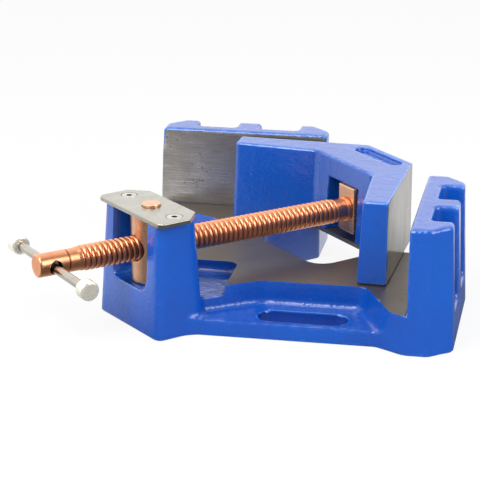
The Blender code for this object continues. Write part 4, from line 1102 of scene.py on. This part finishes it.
plate_lines = [span(-PLATE_FRONT, PLATE_BACK, 0.6), span(-PLATE_HALF, PLATE_HALF, 0.6),
               span(PLATE_LOW, PLATE_TOP, 0.3)]
plate_points, plate_faces = skin(top_plate, *plate_lines)
plate_points = turn(plate_points, math.pi / 4)
plate = add_piece("top_plate_surface", plate_points, plate_faces, metals["zinc_plate"])
dress(plate, "base", "plated_steel", "top_plate")

# %% Socket screws
SHANK_RADIUS, SHANK_LENGTH = 3.2, 18.0
SOCKET_HALF, SOCKET_DEPTH = 2.0, 1.8


def socket_screw(x, y, z):
    """A countersunk head on a plain shank: the cone loses 1 mm of radius per mm of depth, and the
    socket is the largest of three distances to a pair of hexagon sides.  0.5 and 0.866 are the
    cosine and the sine of 60 degrees."""
    reach = np.sqrt(x * x + y * y)
    cone = np.maximum(reach - PLATE_SCREW_HEAD + np.maximum(PLATE_TOP - 0.4 - z, 0), z - PLATE_TOP)
    shank_ends = np.maximum(z - PLATE_TOP + 1.0, PLATE_TOP - SHANK_LENGTH - z)
    shank = np.maximum(reach - SHANK_RADIUS, shank_ends)
    slanted = np.maximum(np.abs(0.5 * x + 0.866 * y), np.abs(0.5 * x - 0.866 * y))
    hexagon = np.maximum(np.abs(x), slanted) - SOCKET_HALF
    body = np.minimum(np.maximum(cone, PLATE_TOP - 3.5 - z), shank)
    body = cut(body, z - PLATE_TOP, 0.35)
    return cut(body, -np.maximum(hexagon, PLATE_TOP - SOCKET_DEPTH - z), 0.2)


screw_lines = span(-PLATE_SCREW_HEAD, PLATE_SCREW_HEAD, 0.32)
screw_heights = span(PLATE_TOP - SHANK_LENGTH, PLATE_TOP, 0.32)
bolt_points, bolt_faces = skin(socket_screw, screw_lines, screw_lines, screw_heights)
for side, name in ((-1.0, "left"), (1.0, "right")):
    shift = np.array([side * PLATE_SCREW_E / ROOT2, -side * PLATE_SCREW_E / ROOT2, 0.0])
    placed = turn(bolt_points, 0.4 * side) + shift
    bolt = add_piece("socket_screw_" + name, placed, bolt_faces, metals["socket_steel"])
    dress(bolt, "base", "bright_steel", "plate_screw_" + name)

# %% [markdown]
# ## Pieces whose solids are already right
#
# The keeper plate under the V jaw, its screws and the two cross pins are hidden or nearly so, and
# their solids have their true shape. They only get a finish.

# %% Finishes for the carried-over pieces
carried = {"keeper_plate": "keeper_iron", "keeper_screw_left": "fastener_steel",
           "keeper_screw_right": "fastener_steel", "cross_pin_left": "fastener_steel",
           "cross_pin_right": "fastener_steel"}
for name, finish in carried.items():
    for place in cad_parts[name].material_slots:
        place.material = metals[finish]
print("carried over:", sorted(n for n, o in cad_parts.items() if not o.hide_render))

# %% [markdown]
# ## Floor, light and camera
#
# The photograph is a cut-out on white, taken with a long lens from the right of the front and
# a little above. It was lit in a light tent that is open towards the camera: glossy paint shows
# the white cloth behind and to the left as a veil, and the dark room in front as deep colour.
# So what mirrors see grows from dark to white along one direction, on the floor and in the sky.

# %% Floor
TENT = (-0.6, 0.8, 0.0)


def tent_white(tree, place, dark, white, low, high):
    """How bright the tent is at a place: even dark up to low along TENT, even white from high on."""
    return ramp(tree, dot(tree, place, TENT), low, high, dark, white)


def floor_piece(size=4000.0, drop=0.3):
    """A large flat sheet a hair below the vise's feet: paper that glows for the camera, and the
    tent's floor for anything glossy."""
    corners = [(x * size, y * size, -drop) for x, y in ((-1, -1), (1, -1), (1, 1), (-1, 1))]
    made, tree, shader = start_material("studio_floor", Base_Color=(0.86, 0.86, 0.86, 1), Roughness=0.9)
    place = node(tree, "ShaderNodeTexCoord").outputs["Object"]
    path = node(tree, "ShaderNodeLightPath")
    mirrored = tent_white(tree, place, 0.16, 1.0, -0.04, 0.08)
    level = blend_value(tree, path.outputs["Is Glossy Ray"], 1.0, mirrored)
    seen = times(tree, path.outputs["Is Camera Ray"], 0.88)
    share = math_node(tree, "MAXIMUM", seen, path.outputs["Is Glossy Ray"])
    glow = node(tree, "ShaderNodeEmission", {"Strength": level})
    mix = node(tree, "ShaderNodeMixShader", {0: share, 1: shader.outputs[0], 2: glow.outputs[0]})
    tree.links.new(mix.outputs[0], tree.nodes["Material Output"].inputs["Surface"])
    return add_piece("studio_floor", corners, [(0, 1, 2, 3)], made)


floor_piece()

# %% Light
LIGHT_AIM = (0.1, 0.1, 0.04)  # metres, the middle of the vise


def area_light(name, place, size, power, long=1.0):
    """A soft box that looks from place to the vise, in metres.  Long is its second side over its
    first."""
    lamp = bpy.data.lights.new(name, "AREA")
    lamp.shape, lamp.size, lamp.size_y = "RECTANGLE", size, size * long
    lamp.energy = power
    made = bpy.data.objects.new(name, lamp)
    made.location = place
    direction = np.array(LIGHT_AIM) - np.array(place)
    made.rotation_euler = (math.acos(-direction[2] / np.linalg.norm(direction)), 0,
                           math.atan2(direction[1], direction[0]) - math.pi / 2)
    bpy.context.collection.objects.link(made)


area_light("key_soft_box", (-0.7, -1.1, 1.5), 1.2, 26.0)
area_light("side_soft_box", (1.3, -0.3, 0.9), 1.0, 12.0)
area_light("top_strip", (-0.15, -0.25, 1.5), 0.40, 4.2, 3.0)
world = bpy.context.scene.world or bpy.data.worlds.new("studio")
bpy.context.scene.world = world
world.use_nodes = True
sky = world.node_tree
path = node(sky, "ShaderNodeLightPath")
towards = node(sky, "ShaderNodeTexCoord").outputs["Generated"]
mirrored = tent_white(sky, towards, 0.2, 1.4, -0.3, 0.55)
level = blend_value(sky, path.outputs["Is Glossy Ray"], 0.50, mirrored)
level = blend_value(sky, path.outputs["Is Camera Ray"], level, 1.0)
background = sky.nodes["Background"]
background.inputs["Color"].default_value = (1, 1, 1, 1)
sky.links.new(level, background.inputs["Strength"])

# %% Camera
CAMERA_PLACE = (0.3021, -1.2560, 0.4971)
CAMERA_YAW, CAMERA_RISE = math.radians(10.814), math.radians(18.769)
FOCAL_PIXELS, PICTURE_PIXELS = 1965.0, 480.0
camera_data = bpy.data.cameras.new("photo_camera")
camera_data.sensor_width = 36.0
camera_data.lens = FOCAL_PIXELS / PICTURE_PIXELS * camera_data.sensor_width
camera = bpy.data.objects.new("photo_camera", camera_data)
camera.location = CAMERA_PLACE
camera.rotation_euler = (math.pi / 2 - CAMERA_RISE, 0, CAMERA_YAW)
bpy.context.collection.objects.link(camera)
bpy.context.scene.camera = camera
bpy.context.scene.view_settings.view_transform = "Standard"
print("lens", round(camera_data.lens, 1), "mm")
